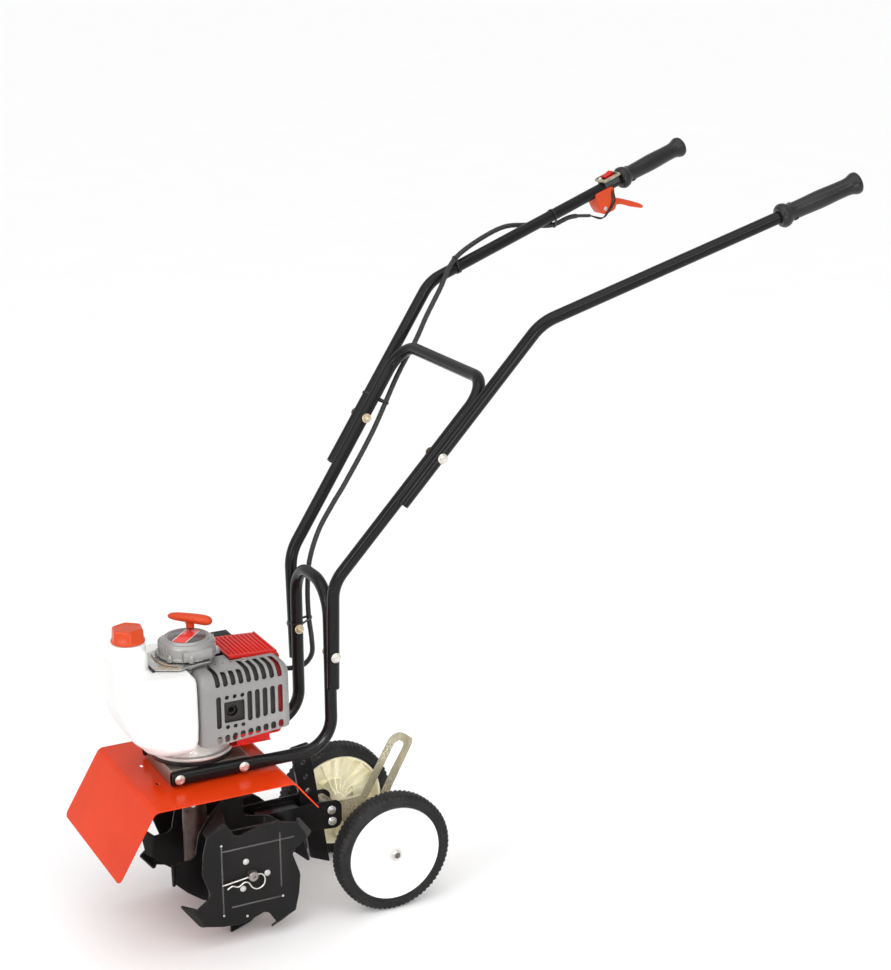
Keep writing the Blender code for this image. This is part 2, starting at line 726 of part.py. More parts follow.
def rounded_plan(low, high, radii, steps=4):
    """A rectangle seen from above, with its front and rear corners rounded."""
    front, rear = radii
    (x0, y0), (x1, y1) = low, high
    return (arc(x0 + front, y0 + front, front, 180, 270, steps) + arc(x1 - front, y0 + front, front, 270, 360,
                                                                      steps)
            + arc(x1 - rear, y1 - rear, rear, 0, 90, steps) + arc(x0 + rear, y1 - rear, rear, 90, 180, steps))


def engine_space(name, grow=0.0):
    """The room that the bell, the crankcase and the fan housing need."""
    profile = [(0.0, 0.2900), (0.0720, 0.2900), (0.0560, 0.3510), (0.0495, 0.3560), (0.0495, 0.5), (0.0, 0.5)]
    profile = [(radius + grow if radius else 0.0, height) for radius, height in profile]
    return turned(name, profile, upright(0, CRANK_Y), None, 24)


def tank_body(name, shrink, material):
    """The tank's closed shape, or the smaller one inside its wall."""
    base, top = TANK_Z[0] + shrink, TANK_Z[1] - shrink
    levels = ((base, 0.014, 0.034), (base + 0.010, 0.003, 0.026), (0.3680, 0.0, 0.004), (0.4200, 0.0, 0.0),
              (top - 0.010, 0.001, 0.001), (top - 0.003, 0.004, 0.004), (top, 0.012, 0.012))
    bm = bmesh.new()
    rings = []
    for height, inset, front_inset in levels:
        inset += shrink
        front_inset += shrink
        low = (TANK_X[0] + inset, TANK_Y[0] + front_inset)
        high = (TANK_X[1] - inset, TANK_Y[1] - min(inset, 0.006))
        ring = []
        for x, y in rounded_plan(low, high, (0.046 - inset / 2, 0.010)):
            rise = 0.45 * max(0.0, -0.515 - y) if height > 0.43 else 0.0
            ring.append(bm.verts.new((x, y, height + rise)))
        rings.append(ring)
    skin(bm, rings)
    bm.faces.new(rings[0][::-1])
    crown = bm.verts.new((0.0, -0.515, top))
    last = rings[-1]
    for i, vert in enumerate(last):
        bm.faces.new((vert, last[(i + 1) % len(last)], crown))
    return finish(name, bm, material)


def fuel_tank():
    """Blow-moulded tank wrapped round the front of the engine, hollow, with a filler neck."""
    tank = tank_body("fuel_tank", 0.0, white())
    neck_top = CAP_CENTRE.z + 0.010
    neck = [(0.0, 0.4350), (0.0290, 0.4350), (0.0275, 0.4700), (0.0262, CAP_CENTRE.z - 0.0010),
            (0.0205, CAP_CENTRE.z), (0.0205, neck_top), (0.0, neck_top)]
    at_cap = upright(CAP_CENTRE.x, CAP_CENTRE.y)
    combine(tank, block("add_boss", (-0.0400, -0.5680, 0.4400), (0.0340, -0.5125, 0.4830), None, 0.010), "UNION")
    combine(tank, turned("add_neck", neck, at_cap, None, 20), "UNION")
    combine(tank, engine_space("cut_tank_back"))
    fuel_space = tank_body("cut_fuel_space", TANK_WALL, None)
    combine(fuel_space, engine_space("cut_fuel_space_back", TANK_WALL))
    combine(tank, fuel_space)
    return combine(tank, rod("cut_filler", 0.0170, (CAP_CENTRE.x, CAP_CENTRE.y, 0.42),
                             (CAP_CENTRE.x, CAP_CENTRE.y, 0.53), None, 18))


def fuel_cap():
    """Screw cap with shallow flutes."""
    bm = bmesh.new()
    base = CAP_CENTRE.z
    top = base + 0.0230
    flutes = 16
    levels = ((base, 0.0262), (top - 0.004, 0.0250), (top, 0.0215))
    rings = []
    for height, radius in levels:
        ring = []
        for i in range(2 * flutes):
            angle = pi * i / flutes
            reach = radius if i % 2 == 0 else radius - 0.0008
            ring.append(bm.verts.new(CAP_CENTRE.xy.to_3d() + Vector((reach * cos(angle), reach * sin(angle),
                                                                     height))))
        rings.append(ring)
    skin(bm, rings)
    bm.faces.new(rings[-1])
    bm.faces.new(rings[0][::-1])
    cap = finish("fuel_cap", bm, orange())
    well = rod("cut_cap_well", 0.0209, (CAP_CENTRE.x, CAP_CENTRE.y, base - 0.01),
               (CAP_CENTRE.x, CAP_CENTRE.y, base + 0.0108), None, 20)
    return combine(cap, well)


def tank_bracket():
    low, high = 0.4523, 0.4550
    outline = [(-0.029, -0.511), (0.028, -0.511), (0.046, -0.470), (0.046, -0.425), (-0.046, -0.425),
               (-0.046, -0.470)]
    place = Matrix.Translation((0, 0, low))
    plate = slab("tank_bracket", outline, place, high - low, steel())
    return combine(plate, rod("cut_bracket_eye", 0.0345, (0, CRANK_Y, low - 0.01), (0, CRANK_Y, high + 0.01),
                              None, 24))


def carburettor():
    body = rod("carburettor", 0.0160, (-0.0330, -0.3650, 0.3830), (-0.0700, -0.3650, 0.3830), cast(), 16)
    return combine(body, block("add_carburettor_bowl", (-0.0640, -0.3830, 0.3600), (-0.0400, -0.3470,
                                                                                    0.4040)), "UNION")


def air_filter_cover():
    return block("air_filter_cover", (-0.1050, -0.4050, 0.3500), (-0.0703, -0.3250, 0.4350),
                 paint("dark_grey_plastic", (0.06, 0.06, 0.065), 0.5), 0.010)


# ---------------------------------------------------------------- gearbox and tines

def gearbox_housing():
    neck_top = SEAT_Z - SHEET - GAP
    flange_top = FENDER_TOP - FENDER_SHEET - GAP
    profile = [(0.0, 0.0800), (0.0170, 0.0800), (0.0200, 0.0900), (0.0190, 0.2500), (0.0340, 0.2560),
               (0.0340, flange_top), (0.0220, flange_top), (0.0220, neck_top), (0.0, neck_top)]
    column = turned("gearbox_housing", profile, upright(0, CRANK_Y),
                    paint("brown_cast", (0.09, 0.06, 0.05), 0.5, 0.6), 20)
    half = GEARCASE_HALF
    drum = [(0.0, -half), (0.0400, -half), (0.0440, -half + 0.004), (0.0440, half - 0.004), (0.0400, half),
            (0.0, half)]
    combine(column, turned("add_wheel_case", drum, along_x((0, TINE_Y, TINE_Z)), None, 28), "UNION")
    combine(column, rod("cut_wheel_space", 0.0395, (-0.0115, TINE_Y, TINE_Z), (0.0115, TINE_Y, TINE_Z), None,
                        28))
    combine(column, rod("cut_shaft_bore", SHAFT_R + 2 * GAP, (-0.03, TINE_Y, TINE_Z), (0.03, TINE_Y, TINE_Z),
                        None, 24))
    return combine(column, rod("cut_worm_bore", 0.0108, (0, CRANK_Y, 0.0860), (0, CRANK_Y, 0.30), None, 16))


def drive_shaft():
    """Shaft from the clutch drum down to the worm."""
    profile = [(0.0, 0.0880), (0.0055, 0.0880), (0.0055, 0.0930)]
    threads, pitch = 4, 0.0120
    for i in range(threads):
        z = 0.0930 + i * pitch
        profile += [(0.0092, z + 0.0020), (0.0092, z + 0.0060), (0.0062, z + 0.0080), (0.0062, z + pitch)]
    profile += [(0.0060, 0.1450), (0.0060, 0.3037), (0.0, 0.3037)]
    return turned("drive_shaft", profile, upright(0, CRANK_Y), steel(), 10)


def worm_wheel():
    bm = bmesh.new()
    teeth = 24
    place = along_x((0, TINE_Y, TINE_Z))
    rings = []
    for height in (-0.0085, 0.0085):
        ring = []
        for i in range(2 * teeth):
            radius = 0.0380 if i % 2 == 0 else 0.0345
            angle = pi * i / teeth
            ring.append(bm.verts.new(place @ Vector((radius * cos(angle), radius * sin(angle), height))))
        rings.append(ring)
    skin(bm, rings)
    bm.faces.new(rings[0][::-1])
    bm.faces.new(rings[1])
    wheel = finish("worm_wheel", bm, paint("bronze", (0.55, 0.36, 0.14), 0.4, 1.0))
    return combine(wheel, rod("cut_wheel_bore", SHAFT_R + GAP, (-0.02, TINE_Y, TINE_Z), (0.02, TINE_Y,
                                                                                         TINE_Z), None, 18))


def tine_shaft():
    shaft = rod("tine_shaft", SHAFT_R, (-SHAFT_HALF, TINE_Y, TINE_Z), (SHAFT_HALF, TINE_Y, TINE_Z), steel(),
                18)
    for side in (1, -1):
        combine(shaft, rod(f"cut_pin_hole_{side}", 0.0016, (side * CLIP_X, TINE_Y - 0.02, TINE_Z - 0.0023),
                           (side * CLIP_X, TINE_Y + 0.02, TINE_Z + 0.0023), None, 8))
    return shaft


BLADE = ((0.072, -6), (0.077, 0), (0.100, 3), (0.106, 23), (0.094, 37), (0.084, 58), (0.073, 80))
FLAP_CORNER = (0.113, 22, 0.009)
FLAP_TIP = (0.1185, -1, 0.023)


def tine(name, x, turn, bend_side):
    """A plate with four blades, each with its leading corner bent sideways."""
    place = along_x((x, TINE_Y, TINE_Z))
    bm = bmesh.new()

    def at(radius, degrees, height=0.0):
        angle = radians(degrees)
        return bm.verts.new(place @ Vector((radius * cos(angle), radius * sin(angle), height * bend_side)))

    core = []
    flaps = []
    for k in range(4):
        start = turn + 90 * k
        edge = [at(radius, start + degrees) for radius, degrees in BLADE]
        corner = at(FLAP_CORNER[0], start + FLAP_CORNER[1], FLAP_CORNER[2])
        tip = at(FLAP_TIP[0], start + FLAP_TIP[1], FLAP_TIP[2])
        core += edge
        flaps.append((edge[2], edge[3], corner, tip))
    bm.faces.new(core)
    for low, high, corner, tip in flaps:
        bm.faces.new((low, corner, high))
        bm.faces.new((low, tip, corner))
    plate = finish(name, bm, black_paint(), 20)
    thicken = plate.modifiers.new("sheet", "SOLIDIFY")
    thicken.thickness = TINE_SHEET
    thicken.offset = 0.0
    return combine(plate, rod(f"cut_{name}", SHAFT_R + GAP, (x - 0.02, TINE_Y, TINE_Z), (x + 0.02, TINE_Y,
                                                                                         TINE_Z),
                              None, 16))


def tine_hub(name, side):
    """Flanged sleeve on the shaft that holds a pair of plates apart."""
    outer, inner = TINE_X[0] - TINE_SHEET / 2 - GAP, TINE_X[1] + TINE_SHEET / 2 + GAP
    bore, sleeve, flange, thick = SHAFT_R + GAP, 0.0130, 0.0320, 0.0020
    profile = [(bore, inner), (flange, inner), (flange, inner + thick), (sleeve, inner + thick),
               (sleeve, outer - thick), (flange, outer - thick), (flange, outer), (bore, outer)]
    return turned(name, profile, pointing((0, TINE_Y, TINE_Z), (side, 0, 0), (0, 1, 0)), black_paint(), 16,
                  True)


def shaft_clip(name, side):
    """Hairpin clip: one straight leg through the shaft and one waved leg beside it."""
    x = side * CLIP_X
    lean = pointing((x, TINE_Y, TINE_Z), (side, 0, 0), (0, -0.9934, -0.1150))
    wire = [(0.0520, 0.0), (0.0200, 0.0), (-0.0080, 0.0), (-0.0165, -0.0040), (-0.0185, -0.0130),
            (-0.0140, -0.0220),
            (-0.0040, -0.0245), (0.0040, -0.0190), (0.0090, -0.0090), (0.0160, -0.0065), (0.0260,
                                                                                          -0.0105), (0.0360,
                                                                                                     -0.0060),
            (0.0450, -0.0090)]
    points = [lean @ Vector((u, -v * side, 0.0)) for u, v in wire]
    line = bpy.data.curves.new(name, "CURVE")
    line.dimensions = "3D"
    line.bevel_depth = 0.00125
    line.bevel_resolution = 1
    line.use_fill_caps = True
    spline = line.splines.new("POLY")
    smooth = [points[0], points[1]] + smooth_points(points[2:], 0.0040)
    spline.points.add(len(smooth) - 1)
    for knot, place in zip(spline.points, smooth):
        knot.co = (*place, 1.0)
    item = bpy.data.objects.new(name, line)
    line.materials.append(zinc())
    bpy.context.collection.objects.link(item)
    return item


# ---------------------------------------------------------------- hitch, depth bar and wheels

def hitch_bracket():
    """Two side plates clamped to the gearbox, joined by spacers ahead of and behind the depth bar."""
    outline = [(-0.4050, 0.1640), (-0.3850, 0.1640), (-0.2450, 0.1660)] + arc(-0.2140, 0.1500, 0.0140, 70, 0,
                                                                              3) \
        + arc(-0.2140, 0.1280, 0.0140, 0, -70, 3) + [(-0.2600, 0.1180), (-0.3450, 0.1280), (-0.3850, 0.1480),
                                                     (-0.4050, 0.1480)]
    sheet = 0.0030
    plates = slab("hitch_bracket", outline, in_side_view(HITCH_X), sheet, black_paint())
    far = slab("add_hitch_far", outline, in_side_view(-HITCH_X - sheet), sheet, None)
    combine(plates, far, "UNION")
    spacers = [((-HITCH_X - 0.001, -0.3420, 0.1400), (HITCH_X + 0.001, -0.2700, 0.1560)),
               ((-HITCH_X - 0.001, -0.2760, 0.1250), (HITCH_X + 0.001, -0.2680, 0.1560))]
    for n, (low, high) in enumerate(spacers):
        combine(plates, block(f"add_hitch_spacer_{n}", low, high), "UNION")
    reach = HITCH_X + sheet + 0.01
    return combine(plates, rod("cut_hitch_pivot", 0.0043, (-reach, PIVOT.y, PIVOT.z), (reach, PIVOT.y,
                                                                                       PIVOT.z), None, 12))


def bar_axis():
    return Vector((0, sin(BAR_LEAN), -cos(BAR_LEAN)))


def bar_point(z):
    """A point on the depth bar's centre line at height z."""
    return Vector((0, -0.2475 + (0.160 - z) * tan(BAR_LEAN), z))


def depth_bar():
    top = bar_point(BAR_TOP_Z)
    length = (BAR_TOP_Z - 0.042) / cos(BAR_LEAN)
    half = BAR_HALF_WIDTH
    place = pointing(top - Vector((BAR_HALF_THICK, 0, 0)), (1, 0, 0), (0, cos(BAR_LEAN), sin(BAR_LEAN)))
    outline = [(-half, 0.0), (-half, -length + 0.020), (half, -length), (half, 0.0)]
    bar = slab("depth_bar", outline, place, 2 * BAR_HALF_THICK, black_paint())
    for n in range(4):
        centre = top + bar_axis() * (0.030 + 0.026 * n)
        combine(bar, rod(f"cut_bar_hole_{n}", 0.0042, centre - Vector((0.02, 0, 0)),
                         centre + Vector((0.02, 0, 0)), None, 10))
    return bar


def pivot_bolt():
    reach = HITCH_X + 0.0030 + GAP
    profile = [(0.0, -reach - 0.0050), (0.0060, -reach - 0.0045), (0.0070, -reach - GAP),
               (0.0040, -reach - GAP),
               (0.0040, reach + GAP), (0.0070, reach + GAP), (0.0060, reach + 0.0050), (0.0, reach + 0.0055)]
    return turned("wheel_pivot_bolt", profile, along_x(PIVOT), zinc(), 12)


def wheel_bracket():
    """Plated carrier: two cheeks on the pivot, an axle tube and one slotted adjusting arm."""
    cheek = arc(PIVOT.y, PIVOT.z, 0.0120, 60, 250, 5) + [(-0.1900, 0.1170)] \
        + arc(AXLE_Y, WHEEL_R, 0.0125, 225, 400, 5) + [(-0.1520, 0.1400), (-0.1600, 0.1590)]
    inner, sheet = 0.0180, 0.0030
    body = slab("wheel_bracket", cheek, in_side_view(inner), sheet, zinc())
    combine(body, slab("add_cheek_far", cheek, in_side_view(-inner - sheet), sheet, None), "UNION")
    combine(body, block("add_cheek_web", (-inner - 0.001, -0.1900, 0.1150), (inner + 0.001, -0.1860, 0.1540)),
            "UNION")
    tube_half = 0.0765
    combine(body, rod("add_axle_tube", 0.0085, (-tube_half, AXLE_Y, WHEEL_R), (tube_half, AXLE_Y, WHEEL_R),
                      None, 14), "UNION")
    arm = [(-0.1640, 0.1560), (-0.1480, 0.1380), (-0.1180, 0.1560), (-0.0700, 0.2350), (-0.0680, 0.2430),
           (-0.0890, 0.2565), (-0.0990, 0.2565), (-0.1080, 0.2500), (-0.1480, 0.1920)]
    combine(body, slab("add_arm", arm, in_side_view(inner + 0.0002), sheet - 0.0004, None), "UNION")
    slot = [(-0.1300, 0.1840), (-0.1210, 0.1740), (-0.0860, 0.2260), (-0.0850, 0.2360), (-0.0920, 0.2410),
            (-0.0990, 0.2380)]
    combine(body, slab("cut_arm_slot", slot, in_side_view(inner - 0.01), 0.03, None))
    combine(body, rod("cut_axle_bore", AXLE_R + GAP, (-0.09, AXLE_Y, WHEEL_R), (0.09, AXLE_Y, WHEEL_R), None,
                      14))
    return combine(body, rod("cut_pivot_bore", 0.0043, (-0.03, PIVOT.y, PIVOT.z), (0.03, PIVOT.y, PIVOT.z),
                             None, 12))


def axle():
    return rod("axle", AXLE_R, (-AXLE_HALF, AXLE_Y, WHEEL_R), (AXLE_HALF, AXLE_Y, WHEEL_R), steel(), 14)


def road_wheel(word, side):
    place = pointing((0, AXLE_Y, WHEEL_R), (side, 0, 0), (0, 0, -1))
    inner, outer = TYRE_X
    bore = AXLE_R + GAP
    disc = [(bore, 0.0770), (0.0130, 0.0770), (0.0140, outer - 0.0050), (0.0735, outer - 0.0050),
            (0.0745, inner + 0.0030),
            (DISC_R, inner + 0.0015), (DISC_R, outer - 0.0003), (0.0700, outer + 0.0002), (0.0200,
                                                                                           outer + 0.0012),
            (0.0130, outer + 0.0035), (bore, outer + 0.0035)]
    turned(f"{word}_wheel", disc, place, white(), WHEEL_SIDES, True)
    seat = DISC_R + GAP
    tyre = [(seat, inner + 0.0035), (0.0850, inner), (0.0940, inner), (WHEEL_R, inner + 0.0055),
            (WHEEL_R, outer - 0.0065),
            (0.0940, outer - 0.0010), (0.0850, outer), (seat, outer - 0.0015)]
    turned(f"{word}_tyre", tyre, place, rubber(), WHEEL_SIDES, True)


# ---------------------------------------------------------------- controls

def handle_back(side):
    return (mirrored(HANDLE_KNEE, side) - mirrored(HANDLE_TIP, side)).normalized()


def control_place(along):
    """On the right handle, local Z along the tube towards the front, local Y away from the ground."""
    back = handle_back(-1)
    origin = mirrored(HANDLE_TIP, -1) + back * along
    side = Vector((0, 0, 1)).cross(back)
    return pointing(origin, back, side)


def tube_cutter(name, along, length):
    place = control_place(along)
    start = place @ Vector((0, 0, -length))
    end = place @ Vector((0, 0, length))
    return rod(name, TUBE_R + GAP, start, end, None, 20)


def place_box(name, place, low, high, material, bevel=0.0):
    """A box with its corners in the local axes of place, seen in world space."""
    bm = bmesh.new()
    add_box(bm, low, high)
    if bevel:
        bmesh.ops.bevel(bm, geom=bm.edges[:], offset=bevel, segments=2, affect="EDGES", profile=0.5)
    bmesh.ops.transform(bm, matrix=place, verts=bm.verts)
    return finish(name, bm, material)


def switch_bracket():
    place = control_place(SWITCH_ALONG)
    saddle = place_box("switch_bracket", place, (-0.0150, 0.0008, -0.0190), (0.0150, 0.0175, 0.0190), zinc(),
                       0.0015)
    combine(saddle, tube_cutter("cut_switch_tube", SWITCH_ALONG, 0.04))
    return combine(saddle, place_box("cut_switch_well", place, (-0.0072, 0.0118, -0.0112), (0.0072, 0.03,
                                                                                            0.0112), None))


def kill_switch():
    place = control_place(SWITCH_ALONG)
    bm = bmesh.new()
    outline = [(-0.0092, 0.0150), (-0.0052, 0.0140), (0.0052, 0.0140), (0.0092, 0.0150), (0.0095, 0.0188),
               (0.0, 0.0196),
               (-0.0095, 0.0224)]
    low = [bm.verts.new(place @ Vector((-0.0065, h, t))) for t, h in outline]
    high = [bm.verts.new(place @ Vector((0.0065, h, t))) for t, h in outline]
    bm.faces.new(low[::-1])
    bm.faces.new(high)
    skin(bm, [low, high])
    return finish("kill_switch", bm, red())


def throttle_housing():
    place = control_place(THROTTLE_ALONG)
    shell = place_box("throttle_housing", place, (-0.0140, -0.0420, -0.0200), (0.0140, 0.0004, 0.0200),
                      orange(), 0.004)
    combine(shell, tube_cutter("cut_throttle_tube", THROTTLE_ALONG, 0.04))
    return combine(shell, place_box("cut_throttle_mouth", place, (-0.0070, -0.0360, -0.03), (0.0070, -0.0160,
                                                                                             0.0100), None))


def throttle_trigger():
    """Finger lever that swings in the housing's mouth below the grip."""
    place = control_place(THROTTLE_ALONG)
    outline = [(0.0060, -0.0260), (0.0030, -0.0208), (-0.0300, -0.0240), (-0.0640, -0.0420),
               (-0.0690, -0.0470),
               (-0.0660, -0.0500), (-0.0300, -0.0330), (-0.0030, -0.0312), (0.0030, -0.0312)]
    bm = bmesh.new()
    low = [bm.verts.new(place @ Vector((-0.0045, h, t))) for t, h in outline]
    high = [bm.verts.new(place @ Vector((0.0045, h, t))) for t, h in outline]
    bm.faces.new(low[::-1])
    bm.faces.new(high)
    skin(bm, [low, high])
    return finish("throttle_trigger", bm, orange())


CABLE_ROUTE = (
    (-0.2245, 0.4080, 1.0435), (-0.2260, 0.3700, 1.0440), (-0.2260, 0.3300, 1.0325), (-0.2370, 0.2850,
                                                                                      1.0350),
    (-0.2280, 0.2400, 1.0370), (-0.2190, 0.1950, 1.0250), (-0.2000, 0.1410, 1.0050), (-0.1790, 0.1080,
                                                                                      0.9870),
    (-0.1680, 0.0850, 0.9550), (-0.1620, 0.0560, 0.9120), (-0.1520, 0.0300, 0.8740), (-0.1450, -0.0080,
                                                                                      0.8200),
    (-0.1130, -0.0690, 0.7400), (-0.0970, -0.1260, 0.6660), (-0.0900, -0.1540, 0.6330), (-0.0790, -0.1850,
                                                                                         0.5950),
    (-0.0720, -0.2050, 0.5500), (-0.0790, -0.2070, 0.5000), (-0.0800, -0.2060, 0.4500), (-0.0700, -0.2060,
                                                                                         0.4150),
    (-0.0760, -0.2040, 0.3850), (-0.0860, -0.2150, 0.3640), (-0.0870, -0.2400, 0.3620), (-0.0830, -0.2800,
                                                                                         0.3720),
    (-0.0780, -0.3240, 0.3820),
)


def control_cable():
    """Throttle cable and stop wires in one sleeve, tied to the right-hand tubes."""
    line = bpy.data.curves.new("control_cable", "CURVE")
    line.dimensions = "3D"
    line.bevel_depth = CABLE_R
    line.bevel_resolution = 2
    line.use_fill_caps = True
    spline = line.splines.new("POLY")
    points = smooth_points(CABLE_ROUTE, 0.0185)
    spline.points.add(len(points) - 1)
    for knot, place in zip(spline.points, points):
        knot.co = (*place, 1.0)
    line.materials.append(rubber())
    item = bpy.data.objects.new("control_cable", line)
    bpy.context.collection.objects.link(item)
    return item


def main():
    clear_scene()
    base_frame()
    mid_hoop()
    for side, word in ((1, "left"), (-1, "right")):
        handle(f"{word}_handle", side)
        grip(f"{word}_grip", side)
        road_wheel(word, side)
        shaft_clip(f"{word}_shaft_clip", side)
        for n, (x, bend_side) in enumerate(zip(TINE_X, (-1, 1))):
            place = "outer" if n == 0 else "inner"
            tine(f"{word}_{place}_tine", side * x, TINE_ANGLES[n], bend_side * side)
        tine_hub(f"{word}_tine_hub", side)
    joint_bolts()
    rail_bolts()
    engine_bracket()
    fender()
    mount_ring()
    clutch_housing()
    crankcase()
    cylinder()
    muffler()
    muffler_cover()
    cylinder_cover()
    fan_housing()
    flywheel()
    crankshaft()
    clutch_shoes()
    clutch_drum()
    starter_housing()
    starter_pulley()
    starter_handle()
    fuel_tank()
    fuel_cap()
    tank_bracket()
    carburettor()
    air_filter_cover()
    gearbox_housing()
    drive_shaft()
    worm_wheel()
    tine_shaft()
    hitch_bracket()
    depth_bar()
    pivot_bolt()
    wheel_bracket()
    axle()
    switch_bracket()
    kill_switch()
    throttle_housing()
    throttle_trigger()
    control_cable()


main()
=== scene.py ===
"""Looks of a walk-behind two-stroke tiller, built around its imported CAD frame.

Metres, +Z up.  The front is -Y and the machine's left side is +X.  The ground is z = 0.
"""
from math import cos, pi, radians, sin, sqrt, tan

import bmesh
import bpy
from mathutils import Matrix, Vector


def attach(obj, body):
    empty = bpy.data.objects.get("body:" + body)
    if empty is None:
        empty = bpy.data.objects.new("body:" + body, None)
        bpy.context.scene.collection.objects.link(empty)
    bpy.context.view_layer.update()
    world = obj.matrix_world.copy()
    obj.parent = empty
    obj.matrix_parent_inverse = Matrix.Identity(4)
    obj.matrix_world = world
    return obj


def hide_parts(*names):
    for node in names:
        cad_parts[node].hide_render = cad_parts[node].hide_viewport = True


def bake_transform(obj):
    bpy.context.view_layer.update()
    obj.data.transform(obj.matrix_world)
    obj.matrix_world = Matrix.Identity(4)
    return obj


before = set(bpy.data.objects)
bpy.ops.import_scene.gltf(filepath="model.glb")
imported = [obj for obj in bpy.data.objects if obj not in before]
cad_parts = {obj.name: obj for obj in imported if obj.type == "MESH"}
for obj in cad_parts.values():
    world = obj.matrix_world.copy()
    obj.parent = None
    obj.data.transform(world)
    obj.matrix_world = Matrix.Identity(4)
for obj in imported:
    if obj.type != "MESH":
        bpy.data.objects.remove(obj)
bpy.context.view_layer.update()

GAP = 0.0003
SIDES = ((1, "left"), (-1, "right"))

# Tube frame
TUBE_R = 0.01
TUBE_WALL = 0.0015
LEG_X = 0.066
LEG_Y = -0.233
RAIL_Z = 0.2795
RAIL_FRONT_Y = -0.504
RAIL_HALF_HEIGHT = 0.0115
RAIL_HALF_WIDTH = 0.0072
ARCH_TOP_Z = 0.552
HOOP_FOOT = Vector((0.077, LEG_Y, 0.385))
HOOP_KNEE = Vector((0.0858, LEG_Y, 0.561))
HOOP_CORNER = Vector((0.153, 0.0065, 0.8716))
HANDLE_FOOT = Vector((0.1335, -0.1343, 0.69))
HANDLE_KNEE = Vector((0.1905, 0.0768, 0.9633))
HANDLE_TIP = Vector((0.255, 0.61, 1.1472))
GRIP_LENGTH = 0.148
LOWER_JOINT_Z = 0.44
UPPER_JOINT_Y = -0.078
RAIL_BOLT_Y = (-0.4925, -0.3862)

# Engine
CRANK_Y = -0.446
SEAT_Z = 0.2915
DECK_Z = 0.4575
TANK_X = (-0.088, 0.092)
TANK_Y = (-0.57, -0.462)
TANK_Z = (0.324, 0.4515)
CAP_CENTRE = Vector((0.0, -0.541, 0.4925))
COVER_X = 0.092
COVER_Y = (-0.46, -0.311)
COVER_Z = (0.33, 0.447)
COVER_COLUMNS = [-0.4313 + 0.01275 * i for i in range(9)]
SHROUD_Y = (-0.39, -0.307)

CYLINDER_Z = 0.378
OUTLET_Y, OUTLET_Z = -0.4085, 0.3845
ROPE_X, ROPE_Y = -0.029, -0.4295
BOSS_R = 0.0462
BOSS_ANGLES = (-100, -55, -12, 150, 60)
SEAM_Y = -0.512

# Fender, drive and wheels
FENDER_HALF_WIDTH = 0.137
FENDER_TOP = 0.2648
FENDER_SHEET = 0.0018
TINE_Y = -0.398
TINE_Z = 0.1173
SHAFT_R = 0.008
TINE_X = (0.119, 0.055)
TINE_SHEET = 0.003
TINE_ANGLES = (20.0, 79.5)
BLADE = ((0.072, -6), (0.077, 0), (0.1, 3), (0.106, 23), (0.094, 37), (0.084, 58), (0.073, 80))
FLAP_CORNER = (0.113, 22, 0.009)
FLAP_TIP = (0.1185, -1, 0.023)
CLIP_X = 0.125
CLIP_LEAN = (0, 0.9934, 0.115)
PIVOT = Vector((0.0, -0.2185, 0.148))
LOCK = Vector((0.0, -0.2175, 0.1278))
AXLE_Y = -0.153
WHEEL_R = 0.1
DISC_R = 0.079
TYRE_X = (0.095, 0.13)
LUGS = 72
BAR_LEAN = radians(8.3)
BAR_TOP_Z = 0.262
HITCH_X = 0.0218

# Controls on the right handle
CABLE_R = 0.0042
SWITCH_ALONG = 0.166
THROTTLE_ALONG = 0.189
CABLE_ROUTE = ((-0.2245, 0.408, 1.0435), (-0.226, 0.37, 1.044), (-0.226, 0.33, 1.0325),
    (-0.237, 0.285, 1.035), (-0.228, 0.24, 1.037), (-0.219, 0.195, 1.025), (-0.2, 0.141, 1.005),
    (-0.179, 0.108, 0.987), (-0.168, 0.085, 0.955), (-0.162, 0.056, 0.912), (-0.152, 0.03, 0.874),
    (-0.145, -0.008, 0.82), (-0.113, -0.069, 0.74), (-0.097, -0.126, 0.666), (-0.09, -0.154, 0.633),
    (-0.079, -0.185, 0.595), (-0.072, -0.205, 0.55), (-0.079, -0.207, 0.5), (-0.08, -0.206, 0.45),
    (-0.07, -0.206, 0.415), (-0.076, -0.204, 0.385), (-0.086, -0.215, 0.364), (-0.087, -0.24, 0.362),
    (-0.083, -0.28, 0.372), (-0.078, -0.324, 0.382))


# ---------------------------------------------------------------- materials

def add(tree, kind, settings=None, **inputs):
    """A shader node with its settings and inputs; an input is a value or another node's socket."""
    made = tree.nodes.new("ShaderNode" + kind)
    for key, value in (settings or {}).items():
        setattr(made, key, value)
    for key, value in inputs.items():
        socket = made.inputs[key.replace("_", " ")]
        if isinstance(value, bpy.types.NodeSocket):
            tree.links.new(value, socket)
        else:
            socket.default_value = value
    return made


def blend(tree, share, low, high):
    """One colour over another, by share."""
    made = tree.nodes.new("ShaderNodeMix")
    made.data_type = "RGBA"
    for index, value in ((0, share), (6, low), (7, high)):
        if isinstance(value, bpy.types.NodeSocket):
            tree.links.new(value, made.inputs[index])
        else:
            made.inputs[index].default_value = value if index == 0 else (*value, 1.0)
    return made.outputs[2]


def ranged(tree, value, low, high, to_low=0.0, to_high=1.0):
    made = add(tree, "MapRange", Value=value, From_Min=low, From_Max=high, To_Min=to_low, To_Max=to_high)
    return made.outputs["Result"]


